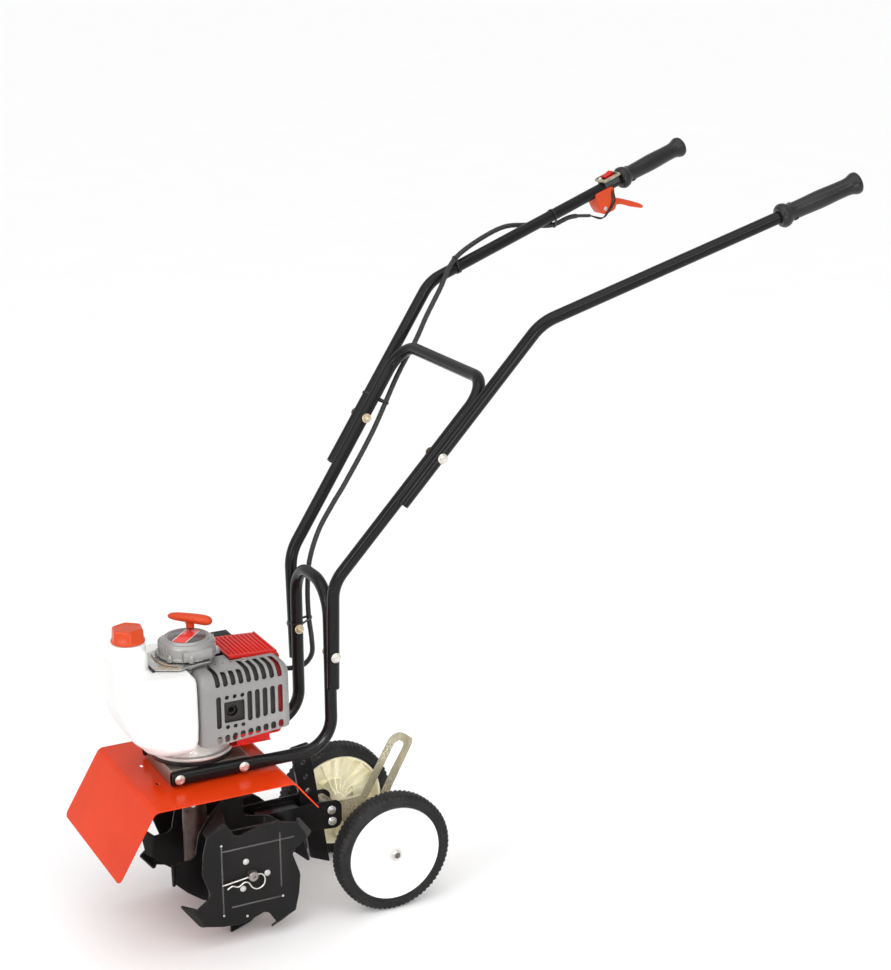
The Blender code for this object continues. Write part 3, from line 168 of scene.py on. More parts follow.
def material(name, colour, second, rough, metal=0.0, blotch=14.0, grain=420.0, bump=0.12, spread=0.07,
        coat=0.0, wear_and_highlight=None, wear_at=0.45, stretch=(1, 1, 1), depth=0.0003, specular=0.5, extra=None):
    """A surface with blotches, grain and, where an edge colour is given, rubbed edges; on the tine ribs that
    edge colour is partly a painted highlight.
    """
    made = bpy.data.materials.new(name)
    made.use_nodes = True
    tree = made.node_tree
    shader = tree.nodes["Principled BSDF"]
    where = add(tree, "TexCoord").outputs["Object"]
    spot = add(tree, "Mapping", Vector=where, Scale=stretch).outputs["Vector"]
    broad = add(tree, "TexNoise", Vector=spot, Scale=blotch, Detail=5.0, Roughness=0.6).outputs["Fac"]
    fine = add(tree, "TexNoise", Vector=spot, Scale=grain, Detail=3.0, Roughness=0.55).outputs["Fac"]
    shade = blend(tree, ranged(tree, broad, 0.35, 0.68), colour, second)
    mixed = add(tree, "Math", {"operation": "ADD"})
    tree.links.new(broad, mixed.inputs[0])
    tree.links.new(fine, mixed.inputs[1])
    gloss = ranged(tree, mixed.outputs[0], 0.7, 1.3, rough - spread, rough + spread)
    height = fine
    if extra:
        shade, height = extra(tree, where, shade, fine)
    if wear_and_highlight:
        soft = add(tree, "Bevel", {"samples": 4}, Radius=0.0011).outputs["Normal"]
        turn = add(tree, "VectorMath", {"operation": "DOT_PRODUCT"})
        tree.links.new(soft, turn.inputs[0])
        tree.links.new(add(tree, "NewGeometry").outputs["Normal"], turn.inputs[1])
        wear_and_highlight_mask = add(tree, "Math", {"operation": "MULTIPLY"})
        tree.links.new(ranged(tree, turn.outputs["Value"], 0.995, 0.9), wear_and_highlight_mask.inputs[0])
        tree.links.new(ranged(tree, fine, wear_at, wear_at + 0.15), wear_and_highlight_mask.inputs[1])
        shade = blend(tree, wear_and_highlight_mask.outputs[0], shade, wear_and_highlight)
    tree.links.new(shade, shader.inputs["Base Color"])
    tree.links.new(gloss, shader.inputs["Roughness"])
    shader.inputs["Metallic"].default_value = metal
    shader.inputs["Specular IOR Level"].default_value = specular
    shader.inputs["Coat Weight"].default_value = coat
    shader.inputs["Coat Roughness"].default_value = 0.08
    relief = add(tree, "Bump", Strength=bump, Distance=depth, Height=height)
    tree.links.new(relief.outputs["Normal"], shader.inputs["Normal"])
    return made


def braid(tree, where, shade, fine):
    """Two crossing diagonal weaves for a braided sleeve."""
    waves = []
    for turn in (0.9, -0.9):
        spot = add(tree, "Mapping", Vector=where, Rotation=(turn, turn / 2, turn)).outputs["Vector"]
        wave = add(tree, "TexWave", Vector=spot, Scale=190.0, Distortion=0.6, Detail=1.0, Detail_Scale=2.0)
        waves.append(wave.outputs["Fac"])
    both = add(tree, "Math", {"operation": "MULTIPLY"})
    tree.links.new(waves[0], both.inputs[0])
    tree.links.new(waves[1], both.inputs[1])
    return blend(tree, both.outputs[0], (0.01, 0.01, 0.011), (0.055, 0.055, 0.058)), both.outputs[0]


def moulded_rays(tree, where, shade, fine):
    """Milky flow marks of natural nylon."""
    marble = add(tree, "TexNoise", Vector=where, Scale=38.0, Detail=6.0, Distortion=1.6).outputs["Fac"]
    return blend(tree, ranged(tree, marble, 0.42, 0.66), shade, (0.82, 0.77, 0.52)), fine


def decal(tree, where, shade, fine):
    """Plain diagonal red and white bands across the badge, over dark grey."""
    spot = add(tree, "SeparateXYZ", Vector=where)
    across = add(tree, "Math", {"operation": "MULTIPLY_ADD"})
    tree.links.new(spot.outputs["X"], across.inputs[0])
    across.inputs[1].default_value = 0.95
    tree.links.new(spot.outputs["Y"], across.inputs[2])
    white = add(tree, "Math", {"operation": "COMPARE"})
    tree.links.new(across.outputs[0], white.inputs[0])
    white.inputs[1].default_value = CRANK_Y - 0.0005
    white.inputs[2].default_value = 0.0165
    red = add(tree, "Math", {"operation": "COMPARE"})
    tree.links.new(across.outputs[0], red.inputs[0])
    red.inputs[1].default_value = CRANK_Y - 0.0005
    red.inputs[2].default_value = 0.015
    pale = blend(tree, white.outputs[0], shade, (0.8, 0.8, 0.78))
    return blend(tree, red.outputs[0], pale, (0.72, 0.035, 0.03)), fine


BLACK = material("black_powder_coat", (0.0065, 0.0062, 0.0066), (0.01, 0.0095, 0.01), 0.2, grain=900,
    bump=0.08, specular=0.2, spread=0.04, wear_and_highlight=(0.05, 0.048, 0.045))
TINE_PAINT = material("tine_paint", (0.0065, 0.0062, 0.0062), (0.011, 0.01, 0.0098), 0.34, grain=500,
    bump=0.16, stretch=(1, 1, 0.3), specular=0.16, wear_and_highlight=(0.13, 0.125, 0.12))
ZINC = material("zinc_plate", (0.8, 0.76, 0.72), (0.62, 0.58, 0.52), 0.3, metal=0.9, blotch=180, grain=900,
    bump=0.1)
YELLOW_ZINC = material("yellow_zinc", (0.72, 0.58, 0.34), (0.55, 0.5, 0.42), 0.32, metal=0.9, blotch=220,
    bump=0.1)
OLIVE_ZINC = material("olive_zinc", (0.48, 0.435, 0.315), (0.25, 0.22, 0.14), 0.3, metal=0.55, blotch=48,
    grain=700, bump=0.12, stretch=(1, 1, 0.4), wear_and_highlight=(0.24, 0.19, 0.13))
STEEL = material("turned_steel", (0.42, 0.39, 0.37), (0.26, 0.22, 0.2), 0.34, metal=0.9, blotch=90,
    grain=1200, bump=0.12)
BRIGHT_STEEL = material("bright_steel", (0.7, 0.69, 0.68), (0.52, 0.51, 0.5), 0.28, metal=0.95, blotch=120,
    bump=0.08)
CAST = material("die_cast_aluminium", (0.66, 0.63, 0.6), (0.54, 0.51, 0.48), 0.4, metal=0.55, grain=1400,
    bump=0.25, wear_and_highlight=(0.78, 0.77, 0.75))
BROWN_CAST = material("brown_cast", (0.055, 0.036, 0.03), (0.095, 0.062, 0.05), 0.42, metal=0.55, blotch=60,
    grain=900, bump=0.45, wear_and_highlight=(0.2, 0.15, 0.13))
ORANGE_ENAMEL = material("orange_enamel", (0.7, 0.044, 0.004), (0.63, 0.036, 0.004), 0.22, coat=0.06,
    blotch=9, grain=260, bump=0.04, spread=0.03, specular=0.12, wear_and_highlight=(0.8, 0.12, 0.04), wear_at=0.55)
BARE_STEEL = material("bare_steel", (0.2, 0.165, 0.135), (0.32, 0.27, 0.23), 0.34, metal=0.8, blotch=30,
    grain=600, bump=0.15, stretch=(1, 1, 0.08), wear_and_highlight=(0.5, 0.45, 0.4))
# Dark steel: the silencer's own heat-darkened finish, and painted shade on the dark sheet inside the muffler
# cover.
HEAT_AND_SHADE_DARK = material("heat_dark_steel", (0.012, 0.0115, 0.0115), (0.026, 0.021, 0.019), 0.55, metal=0.3,
    blotch=50, grain=600, bump=0.3)
ORANGE_PLASTIC = material("orange_plastic", (0.64, 0.062, 0.01), (0.56, 0.048, 0.008), 0.28, grain=1200,
    bump=0.1, specular=0.3, wear_and_highlight=(0.9, 0.16, 0.05))
RED_PLASTIC = material("red_plastic", (0.62, 0.012, 0.008), (0.52, 0.009, 0.007), 0.34, grain=1300, bump=0.15,
    specular=0.25, wear_and_highlight=(0.78, 0.07, 0.03))
# Darker copy of the red plastic: painted shade for the recess behind the muffler cover's rear slots.
SHADED_RED = material("shaded_red_plastic", (0.2, 0.006, 0.006), (0.12, 0.004, 0.004), 0.4, grain=1300,
    bump=0.15, specular=0.2, wear_and_highlight=(0.4, 0.03, 0.02))
GREY_PLASTIC = material("grey_plastic", (0.255, 0.25, 0.245), (0.225, 0.222, 0.22), 0.33, coat=0.2, blotch=16,
    grain=1500, bump=0.14, wear_and_highlight=(0.42, 0.42, 0.41))
GREY_CAST = material("grey_cast", (0.345, 0.34, 0.33), (0.285, 0.28, 0.275), 0.33, metal=0.35, blotch=30,
    grain=1300, bump=0.28, wear_and_highlight=(0.55, 0.55, 0.54))
DARK_PLASTIC = material("dark_plastic", (0.03, 0.03, 0.032), (0.045, 0.045, 0.048), 0.46, grain=1500,
    bump=0.3, wear_and_highlight=(0.12, 0.12, 0.12))
WHITE_TANK = material("white_plastic", (0.86, 0.865, 0.86), (0.8, 0.805, 0.79), 0.38, blotch=11, grain=500,
    bump=0.08, stretch=(1, 1, 0.35))
WHITE_DISC = material("white_disc", (0.88, 0.88, 0.87), (0.84, 0.84, 0.82), 0.33, blotch=18, grain=900,
    bump=0.08)
CREAM = material("natural_nylon", (0.9, 0.86, 0.69), (0.82, 0.77, 0.58), 0.38, blotch=45, grain=700,
    bump=0.15, extra=moulded_rays)
RUBBER = material("black_rubber", (0.01, 0.01, 0.01), (0.016, 0.016, 0.016), 0.3, specular=0.35, grain=1400,
    bump=0.2)
TYRE = material("tyre_rubber", (0.01, 0.01, 0.01), (0.019, 0.018, 0.018), 0.55, specular=0.15, blotch=30,
    grain=800, bump=0.4, wear_and_highlight=(0.055, 0.055, 0.055))
SLEEVE = material("braided_sleeve", (0.02, 0.02, 0.02), (0.04, 0.04, 0.04), 0.6, bump=0.7, depth=0.0006,
    extra=braid)
TAN_WIRE = material("tan_wire", (0.45, 0.33, 0.2), (0.3, 0.22, 0.15), 0.4, blotch=60, bump=0.1)
BRONZE = material("bronze", (0.55, 0.34, 0.13), (0.42, 0.26, 0.11), 0.36, metal=0.95, blotch=70, bump=0.12)
# The light crest colour on the tine ribs is partly rubbed paint and partly a painted highlight of the light
# from above.
TINE_RIB = material("tine_rib", (0.03, 0.029, 0.028), (0.06, 0.058, 0.056), 0.2, metal=0.2, blotch=60,
    grain=500, bump=0.06, specular=0.9, wear_and_highlight=(0.25, 0.245, 0.24))
RIVET = material("rivet_steel", (0.62, 0.62, 0.61), (0.5, 0.5, 0.49), 0.38, metal=0.55, blotch=200, bump=0.08)
PIN_WIRE = material("pin_wire", (0.78, 0.77, 0.74), (0.6, 0.58, 0.54), 0.24, metal=0.95, blotch=160,
    bump=0.08)
AXLE_STEEL = material("axle_steel", (0.1, 0.09, 0.085), (0.16, 0.14, 0.13), 0.35, metal=0.8, blotch=140,
    bump=0.1)
BADGE = material("badge", (0.06, 0.06, 0.068), (0.08, 0.08, 0.088), 0.3, coat=0.4, bump=0.03, extra=decal)


# ---------------------------------------------------------------- shapes

def pointing(origin, direction, side=(1, 0, 0)):
    """A placing matrix with local Z along direction and local X near side."""
    z_axis = Vector(direction).normalized()
    x_axis = Vector(side) - z_axis * Vector(side).dot(z_axis)
    x_axis.normalize()
    turn = Matrix((x_axis, z_axis.cross(x_axis), z_axis)).transposed().to_4x4()
    return Matrix.Translation(origin) @ turn


def along_x(origin, way=1):
    """Local Z along +X, or along -X where way is -1."""
    return pointing(origin, (way, 0, 0), (0, 1, 0))


def upright(x, y, z=0.0):
    return Matrix.Translation((x, y, z))


def in_side_view(x):
    """Outline axes are world Y and Z, and depth runs towards +X."""
    return along_x((x, 0, 0))


CRANK = upright(0, CRANK_Y)
SHAFT = along_x((0, TINE_Y, TINE_Z))
AXLE = along_x((0, AXLE_Y, WHEEL_R))


def mirrored(point, side):
    return Vector((point[0] * side, point[1], point[2]))


def arc(cx, cy, radius, start, end, steps):
    angles = [radians(start + (end - start) * i / steps) for i in range(steps + 1)]
    return [(cx + radius * cos(a), cy + radius * sin(a)) for a in angles]


def eased(points, radius, steps=3, closed=True):
    """The same outline with its corners rounded off."""
    points = [Vector(p) for p in points]
    made = []
    for i, corner in enumerate(points):
        if not closed and i in (0, len(points) - 1):
            made.append(tuple(corner))
            continue
        back = points[i - 1] - corner
        forth = points[(i + 1) % len(points)] - corner
        if pi - back.angle(forth) < 0.2:
            made.append(tuple(corner))
            continue
        reach = min(radius, 0.45 * back.length, 0.45 * forth.length)
        first = corner + back.normalized() * reach
        last = corner + forth.normalized() * reach
        for k in range(steps + 1):
            t = k / steps
            made.append(tuple(first * (1 - t) ** 2 + corner * 2 * t * (1 - t) + last * t * t))
    return made


def rounded_path(points, radii, steps=14):
    """A polyline whose inner corners are arcs of the given radii."""
    path = [Vector(points[0])]
    for before, corner, after, radius in zip(points, points[1:], points[2:], radii):
        back = (before - corner).normalized()
        forth = (after - corner).normalized()
        half = back.angle(forth) / 2
        centre = corner + (back + forth).normalized() * (radius / sin(half))
        first = corner + back * (radius / tan(half)) - centre
        last = corner + forth * (radius / tan(half)) - centre
        sweep_angle = first.angle(last)
        for i in range(steps + 1):
            t = i / steps
            low, high = sin((1 - t) * sweep_angle), sin(t * sweep_angle)
            path.append(centre + (first * low + last * high) / sin(sweep_angle))
    path.append(Vector(points[-1]))
    return path


def refined(path, step):
    fine = [path[0]]
    for a, b in zip(path, path[1:]):
        pieces = max(1, round((b - a).length / step))
        fine += [a.lerp(b, i / pieces) for i in range(1, pieces + 1)]
    return fine


def smooth_points(points, spacing):
    """Points on a Catmull-Rom curve through the given ones, at about equal spacing."""
    points = [Vector(p) for p in points]
    padded = [points[0] * 2 - points[1]] + points + [points[-1] * 2 - points[-2]]
    dense = []
    for a, b, c, d in zip(padded, padded[1:], padded[2:], padded[3:]):
        for i in range(24):
            t = i / 24
            dense.append(0.5 * (b * 2 + (c - a) * t + (a * 2 - b * 5 + c * 4 - d) * t * t
                + (b * 3 - a - c * 3 + d) * t * t * t))
    kept = [dense[0]]
    for point in dense[1:]:
        if (point - kept[-1]).length >= spacing:
            kept.append(point)
    return kept + [points[-1]]


def skin(bm, rings, closed=False):
    pairs = list(zip(rings, rings[1:]))
    if closed:
        pairs.append((rings[-1], rings[0]))
    for low, high in pairs:
        for i in range(len(low)):
            j = (i + 1) % len(low)
            bm.faces.new((low[i], low[j], high[j], high[i]))


def loft(bm, rings):
    """Join rings of points, with flat ends."""
    made = [[bm.verts.new(p) for p in ring] for ring in rings]
    skin(bm, made)
    bm.faces.new(made[0][::-1])
    bm.faces.new(made[-1])


def spin(bm, profile, place, segments=48, loop=False, ease=0.0):
    """Turn (radius, height) points about local Z.  A loop profile makes a ring."""
    if ease:
        profile = eased(profile, ease, 2, loop)
    rings = []
    for radius, height in profile:
        if radius < 1e-9:
            rings.append(bm.verts.new(place @ Vector((0, 0, height))))
            continue
        angles = [2 * pi * i / segments for i in range(segments)]
        rings.append([bm.verts.new(place @ Vector((radius * cos(a), radius * sin(a), height)))
            for a in angles])
    pairs = list(zip(rings, rings[1:]))
    if loop:
        pairs.append((rings[-1], rings[0]))
    for low, high in pairs:
        for i in range(segments):
            j = (i + 1) % segments
            if isinstance(low, list) and isinstance(high, list):
                bm.faces.new((low[i], low[j], high[j], high[i]))
            elif isinstance(high, list):
                bm.faces.new((low, high[j], high[i]))
            elif isinstance(low, list):
                bm.faces.new((low[i], low[j], high))


def rod(bm, radius, low, high, place, segments=48):
    """A plain cylinder between two heights of local Z."""
    spin(bm, [(0, low), (radius, low), (radius, high), (0, high)], place, segments)


def prism(bm, outline, place, depth):
    loft(bm, [[place @ Vector((x, y, z)) for x, y in outline] for z in (0.0, depth)])


def box(bm, low, high, place=Matrix.Identity(4), bevel=0.0, segments=3):
    """A box between two corners in the axes of place, with rounded edges."""
    low, high = Vector(low), Vector(high)
    made = bmesh.ops.create_cube(bm, size=1.0)["verts"]
    bmesh.ops.scale(bm, vec=high - low, verts=made)
    bmesh.ops.translate(bm, vec=(low + high) / 2, verts=made)
    if bevel:
        edges = list(dict.fromkeys(e for v in made for e in v.link_edges))
        rounded = bmesh.ops.bevel(bm, geom=edges, offset=bevel, segments=segments, affect="EDGES",
            profile=0.5)
        faced = [v for f in rounded["faces"] for v in f.verts]
        made = list(dict.fromkeys(faced + [v for v in made if v.is_valid]))
    bmesh.ops.transform(bm, matrix=place, verts=made)


def carried_frames(path, side):
    """Section axes carried along the path without twist."""
    side = Vector(side)
    frames = []
    for i, point in enumerate(path):
        tangent = (path[min(i + 1, len(path) - 1)] - path[max(i - 1, 0)]).normalized()
        side = (side - tangent * side.dot(tangent)).normalized()
        frames.append((point, side, tangent.cross(side)))
    return frames


def sweep(bm, path, section, side=(1, 0, 0), sides=24, wall=0.0, press=None):
    """A rod, or a tube with a wall, along path.

    section is a radius, or gives two half sizes at (index, point).
    """
    skins = []
    for inset in ((0.0, wall) if wall else (0.0,)):
        rings = []
        for n, (point, u, v) in enumerate(carried_frames(path, side)):
            half_u, half_v = section(n, point) if callable(section) else (section, section)
            ring = []
            for i in range(sides):
                a = 2 * pi * i / sides
                place = point + u * (half_u - inset) * cos(a) + v * (half_v - inset) * sin(a)
                ring.append(bm.verts.new(press(place, inset) if press else place))
            rings.append(ring)
        skin(bm, rings)
        skins.append(rings)
    for end in (0, -1):
        if wall:
            skin(bm, [skins[0][end], skins[1][end]])
        else:
            bm.faces.new(skins[0][end])


def settle(item, body, nodes=()):
    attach(item, body)
    if nodes:
        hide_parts(*([nodes] if isinstance(nodes, str) else nodes))
    return item


def raw(name, bm, surface=None, sharp=34.0):
    bmesh.ops.recalc_face_normals(bm, faces=bm.faces)
    mesh = bpy.data.meshes.new(name)
    bm.to_mesh(mesh)
    bm.free()
    if surface:
        mesh.materials.append(surface)
    mesh.shade_smooth()
    mesh.set_sharp_from_angle(angle=radians(sharp))
    item = bpy.data.objects.new(name, mesh)
    bpy.context.scene.collection.objects.link(item)
    return item


def applied(item, sharp=34.0):
    """Replace the item's mesh by what its modifiers make of it."""
    graph = bpy.context.evaluated_depsgraph_get()
    mesh = bpy.data.meshes.new_from_object(item.evaluated_get(graph), depsgraph=graph)
    item.modifiers.clear()
    item.data = mesh
    mesh.shade_smooth()
    mesh.set_sharp_from_angle(angle=radians(sharp))
    return item


def combine(item, tool_bm, operation="DIFFERENCE"):
    """Cut the tool out of the item, or join it to it."""
    tool = raw("tool", tool_bm)
    step = item.modifiers.new("combine", "BOOLEAN")
    step.operation = operation
    step.object = tool
    applied(item)
    bpy.data.objects.remove(tool, do_unlink=True)
    return item


def rounded(item, width, segments=2, angle=38.0):
    """Small rounds along the item's edges."""
    step = item.modifiers.new("rounded", "BEVEL")
    step.width = width
    step.segments = segments
    step.limit_method = "ANGLE"
    step.angle_limit = radians(angle)
    step.harden_normals = True
    return item


def melted(item, voxel, rounds, sharp):
    """Fuse what the item is joined from and soften where it meets."""
    remesh = item.modifiers.new("remesh", "REMESH")
    remesh.mode = "VOXEL"
    remesh.voxel_size = voxel
    smooth = item.modifiers.new("smooth", "SMOOTH")
    smooth.factor = 0.5
    smooth.iterations = rounds
    applied(item, sharp)


def mesh_of(make, *shape, **settings):
    """A mesh with one shape in it, made by a function such as box, rod or prism."""
    bm = bmesh.new()
    make(bm, *shape, **settings)
    return bm


def piece(name, bm, surface, body, nodes=(), sharp=34.0):
    return settle(raw(name, bm, surface, sharp), body, nodes)


def capsule(bm, start, end, radius, sides=12):
    """A rod with round ends."""
    start, end = Vector(start), Vector(end)
    length = (end - start).length
    low = [(radius * sin(a), -radius * cos(a)) for a in (0.0, 0.5, 1.0, 1.3)]
    high = [(r, length - h) for r, h in low[::-1]]
    side = (0, 1, 0) if abs((end - start).normalized().x) > 0.9 else (1, 0, 0)
    spin(bm, low + high, pointing(start, end - start, side), sides)


def slot_shape(x, y, half_width, half_height, steps=6):
    """A slot with round ends, its long side along the second axis."""
    rise = half_height - half_width
    return arc(x, y + rise, half_width, 0, 180, steps) + arc(x, y - rise, half_width, 180, 360, steps)


# ---------------------------------------------------------------- tube frame

def pressed_round(axis_point, axis_direction, push, low_z, high_z):
    """Keep a tube outside the round tube that it is bolted against."""
    direction = Vector(axis_direction).normalized()
    push = Vector(push)
    push = (push - direction * push.dot(direction)).normalized()

    def press(place, wall):
        if not low_z <= place.z <= high_z:
            return place
        off = place - axis_point
        off = off - direction * off.dot(direction)
        keep = TUBE_R + 0.0006 + wall
        along = off.dot(push)
        across = (off - push * along).length
        if across >= keep:
            return place
        return place + push * max(0.0, sqrt(keep * keep - across * across) - along)

    return press


def rail_section(n, point):
    """Flat at the front, where the rails are bolted, and round from there to the legs."""
    t = min(1.0, max(0.0, (point.y + 0.37) / 0.055))
    t = 1.0 if point.z > RAIL_Z + 0.02 else t * t * (3 - 2 * t)
    across = RAIL_HALF_WIDTH + (TUBE_R - RAIL_HALF_WIDTH) * t
    return across, RAIL_HALF_HEIGHT + (TUBE_R - RAIL_HALF_HEIGHT) * t


def frame_tubes():
    halves = []
    for side in (1, -1):
        corners = [Vector((side * LEG_X, RAIL_FRONT_Y, RAIL_Z)), Vector((side * LEG_X, LEG_Y, RAIL_Z)),
            Vector((side * LEG_X, LEG_Y, ARCH_TOP_Z)), Vector((0.0, LEG_Y, ARCH_TOP_Z))]
        path = rounded_path(corners, (0.052, 0.054))
        halves.append(refined(path[:2], 0.008)[:-1] + path[1:])
    piece("arch_tube", mesh_of(sweep, halves[0] + halves[1][-2::-1], rail_section, sides=40, wall=TUBE_WALL),
        BLACK, "frame", "base_frame")

    left = [HOOP_FOOT, HOOP_KNEE, HOOP_CORNER]
    path = rounded_path(left + [mirrored(p, -1) for p in left[::-1]], (0.07, 0.042, 0.042, 0.07))
    presses = {side: pressed_round(Vector((side * LEG_X, LEG_Y, 0)), (0, 0, 1), (side, 0, 0), 0.0, 0.52)
        for side in (1, -1)}
    piece("hoop_tube", mesh_of(sweep, refined(path, 0.012), TUBE_R, sides=36, wall=TUBE_WALL,
        press=lambda place, wall: presses[1 if place.x > 0 else -1](place, wall)), BLACK, "frame",
        "mid_hoop")

    for side, word in SIDES:
        path = rounded_path([mirrored(p, side) for p in (HANDLE_FOOT, HANDLE_KNEE, HANDLE_TIP)], (0.075,))
        run = mirrored(HOOP_CORNER, side) - mirrored(HOOP_KNEE, side)
        piece(f"{word}_handle_tube", mesh_of(sweep, refined(path, 0.012), TUBE_R, sides=36, wall=TUBE_WALL,
            press=pressed_round(mirrored(HOOP_KNEE, side), run, (side, 0, 0), 0.0, 0.88)), BLACK, "frame",
            f"{word}_handle")
        handle_grip(word, side)


def handle_back(side):
    return (mirrored(HANDLE_KNEE, side) - mirrored(HANDLE_TIP, side)).normalized()


def handle_grip(word, side):
    """Moulded grip: an end knob, a waist, a palm swell, four pairs of short ribs and a front flange."""
    place = pointing(mirrored(HANDLE_TIP, side), handle_back(side))
    bore = TUBE_R + GAP
    body = [(0.0, -0.0041), (0.012, -0.004), (0.0152, -0.0034), (0.017, -0.002), (0.0179, 0.0004),
        (0.018, 0.0032), (0.0172, 0.0065), (0.0158, 0.01), (0.0147, 0.0135), (0.0141, 0.018), (0.0139, 0.023)]
    for i in range(14):
        t = i / 13
        body.append((0.0139 + 0.0009 * sin(pi * t) ** 2, 0.029 + 0.079 * t))
    body += [(0.0139, 0.112), (0.014, 0.121), (0.015, 0.1255), (0.0182, 0.13), (0.0194, 0.1345),
        (0.0193, 0.139), (0.017, GRIP_LENGTH - 0.005), (0.016, GRIP_LENGTH - 0.004),
        (bore, GRIP_LENGTH - 0.004), (bore, GRIP_LENGTH - 0.03), (0.0, GRIP_LENGTH - 0.03)]
    bm = bmesh.new()
    spin(bm, body, place, 48)
    for turn in (0.6, 2.2, 3.8, 5.4):
        for lift in (-0.0016, 0.0016):
            out = Vector((cos(turn), sin(turn), 0)) * 0.01445
            along = Vector((-sin(turn), cos(turn), 0)) * lift
            ends = [place @ (out + along + Vector((0, 0, z))) for z in (0.1165, 0.1215)]
            capsule(bm, *ends, 0.0009, 8)
    piece(f"{word}_rubber_grip", bm, RUBBER, "frame", f"{word}_grip", 50)


def threaded_end(bm, place, start, end, radius):
    """A stud with a real thread form."""
    pitch = 0.0006
    profile = [(0.0, start), (radius, start)]
    turns = int((end - start) / pitch)
    for i in range(turns):
        z = start + pitch * i
        profile += [(radius - 0.0003, z + pitch * 0.45), (radius, z + pitch * 0.9)]
    spin(bm, profile + [(radius - 0.0006, end), (0.0, end)], place, 20)


def bolt(name, head_end, nut_end, nodes=()):
    """Flanged hexagon bolt in zinc, with a yellow washer, nut and stud at its far end."""
    head_end, nut_end = Vector(head_end), Vector(nut_end)
    length = (nut_end - head_end).length
    place = pointing(head_end, nut_end - head_end, (0, 0, 1))
    bm = bmesh.new()
    spin(bm, [(0, -GAP), (0.0082, -GAP), (0.0082, -0.0009), (0.0062, -0.002), (0, -0.002)], place, 36,
        ease=0.0003)
    spin(bm, [(0, -0.0018), (0.006, -0.0018), (0.006, -0.0041), (0.005, -0.0048), (0.0036, -0.0048),
        (0.003, -0.0044), (0, -0.0043)], place, 6)
    piece(f"{name}_head", bm, ZINC, "frame", nodes, 25)
    bm = bmesh.new()
    top = length + GAP
    spin(bm, [(0, top), (0.008, top), (0.008, top + 0.0014), (0, top + 0.0014)], place, 36, ease=0.0003)
    spin(bm, [(0, top + 0.0013), (0.0052, top + 0.0013), (0.0062, top + 0.002), (0.0062, top + 0.0048),
        (0.005, top + 0.0056), (0, top + 0.0056)], place, 6)
    spin(bm, [(0, top + 0.005), (0.0049, top + 0.005), (0.0047, top + 0.0066), (0, top + 0.0068)], place, 28,
        ease=0.0004)
    threaded_end(bm, place, top + 0.0055, length + 0.0104, 0.003)
    piece(f"{name}_nut", bm, YELLOW_ZINC, "frame", (), 25)


def frame_bolts():
    for side, word in SIDES:
        outer_x = HOOP_FOOT.x + (HOOP_KNEE.x - HOOP_FOOT.x) * 0.31 + TUBE_R + 0.0007
        bolt(f"{word}_lower_bolt", (side * outer_x, LEG_Y, LOWER_JOINT_Z),
            (side * (LEG_X - TUBE_R), LEG_Y, LOWER_JOINT_Z), f"lower_joint_bolt_{word}")
        slope = HOOP_CORNER - HOOP_KNEE
        inner = HOOP_KNEE + slope * ((UPPER_JOINT_Y - HOOP_KNEE.y) / slope.y)
        run = HANDLE_KNEE - HANDLE_FOOT
        outer = HANDLE_FOOT + run * ((UPPER_JOINT_Y - HANDLE_FOOT.y) / run.y)
        outer.z = inner.z
        lean = Vector((side * (TUBE_R + 0.0013), 0, 0))
        bolt(f"{word}_upper_bolt", mirrored(outer, side) + lean, mirrored(inner, side) - lean,
            f"upper_joint_bolt_{word}")
    reach = LEG_X + RAIL_HALF_WIDTH
    for word, y in zip(("front", "rear"), RAIL_BOLT_Y):
        bolt(f"{word}_rail_bolt", (reach, y, RAIL_Z), (-reach, y, RAIL_Z), f"rail_bolt_{word}")
        piece(f"{word}_rail_bolt_shank", mesh_of(rod, 0.0029, 0, 2 * reach - 0.001,
            along_x((-reach + 0.0005, y, RAIL_Z)), 20), ZINC, "frame")


# ---------------------------------------------------------------- fender and engine seat

def bent_profile(radius, inset):
    """The fender's side profile, offset inwards, with its two bends rounded."""
    outline = [Vector((y, z)) for y, z in ((-0.6188, 0.1592), (-0.556, FENDER_TOP), (-0.327, FENDER_TOP),
        (-0.2852, 0.2122))]
    shifted = []
    for i, point in enumerate(outline):
        before = (point - outline[i - 1]).normalized() if i else (outline[1] - point).normalized()
        after = (outline[i + 1] - point).normalized() if i < 3 else before
        normal = Vector((before.y + after.y, -before.x - after.x)).normalized()
        shifted.append(point + normal * inset / max(0.5, normal.dot(Vector((before.y, -before.x)))))
    return rounded_path(shifted, (radius - inset,) * 2, 8)


def fender_plate():
    """One bent sheet with rounded free corners and two slots ahead of the engine."""
    outer, inner = bent_profile(0.013, 0.0), bent_profile(0.013, FENDER_SHEET)
    corner = 0.01
    stations = []
    for a, b, c, d in zip(outer, outer[1:], inner, inner[1:]):
        first, last = a is outer[0], b is outer[-1]
        stations.append((a, c))
        if first or last:
            share = corner / (b - a).length
            steps = [share * t for t in (0.06, 0.2, 0.4, 0.7, 1.0)]
            for t in (steps if first else [1 - s for s in steps[::-1]]):
                stations.append((a.lerp(b, t), c.lerp(d, t)))
    stations.append((outer[-1], inner[-1]))
    ends = (outer[0], outer[-1])
    rings = []
    for o, i in stations:
        d = min((o - end).length for end in ends)
        cut = corner - sqrt(max(0.0, corner ** 2 - (corner - d) ** 2)) if d < corner else 0.0
        half = FENDER_HALF_WIDTH - cut
        rings.append([Vector((-half, *o)), Vector((half, *o)), Vector((half, *i)), Vector((-half, *i))])
    plate = raw("fender_sheet", mesh_of(loft, rings), ORANGE_ENAMEL)
    for x in (-0.038, 0.038):
        cutter = bmesh.new()
        outline = [(v, u) for u, v in slot_shape(-0.518, x, 0.0023, 0.0056)]
        prism(cutter, outline, upright(0, 0, 0.25), 0.03)
        combine(plate, cutter)
    combine(plate, mesh_of(rod, 0.023, 0.25, 0.28, CRANK, 40))
    rounded(plate, 0.0005)
    settle(plate, "frame", "fender")


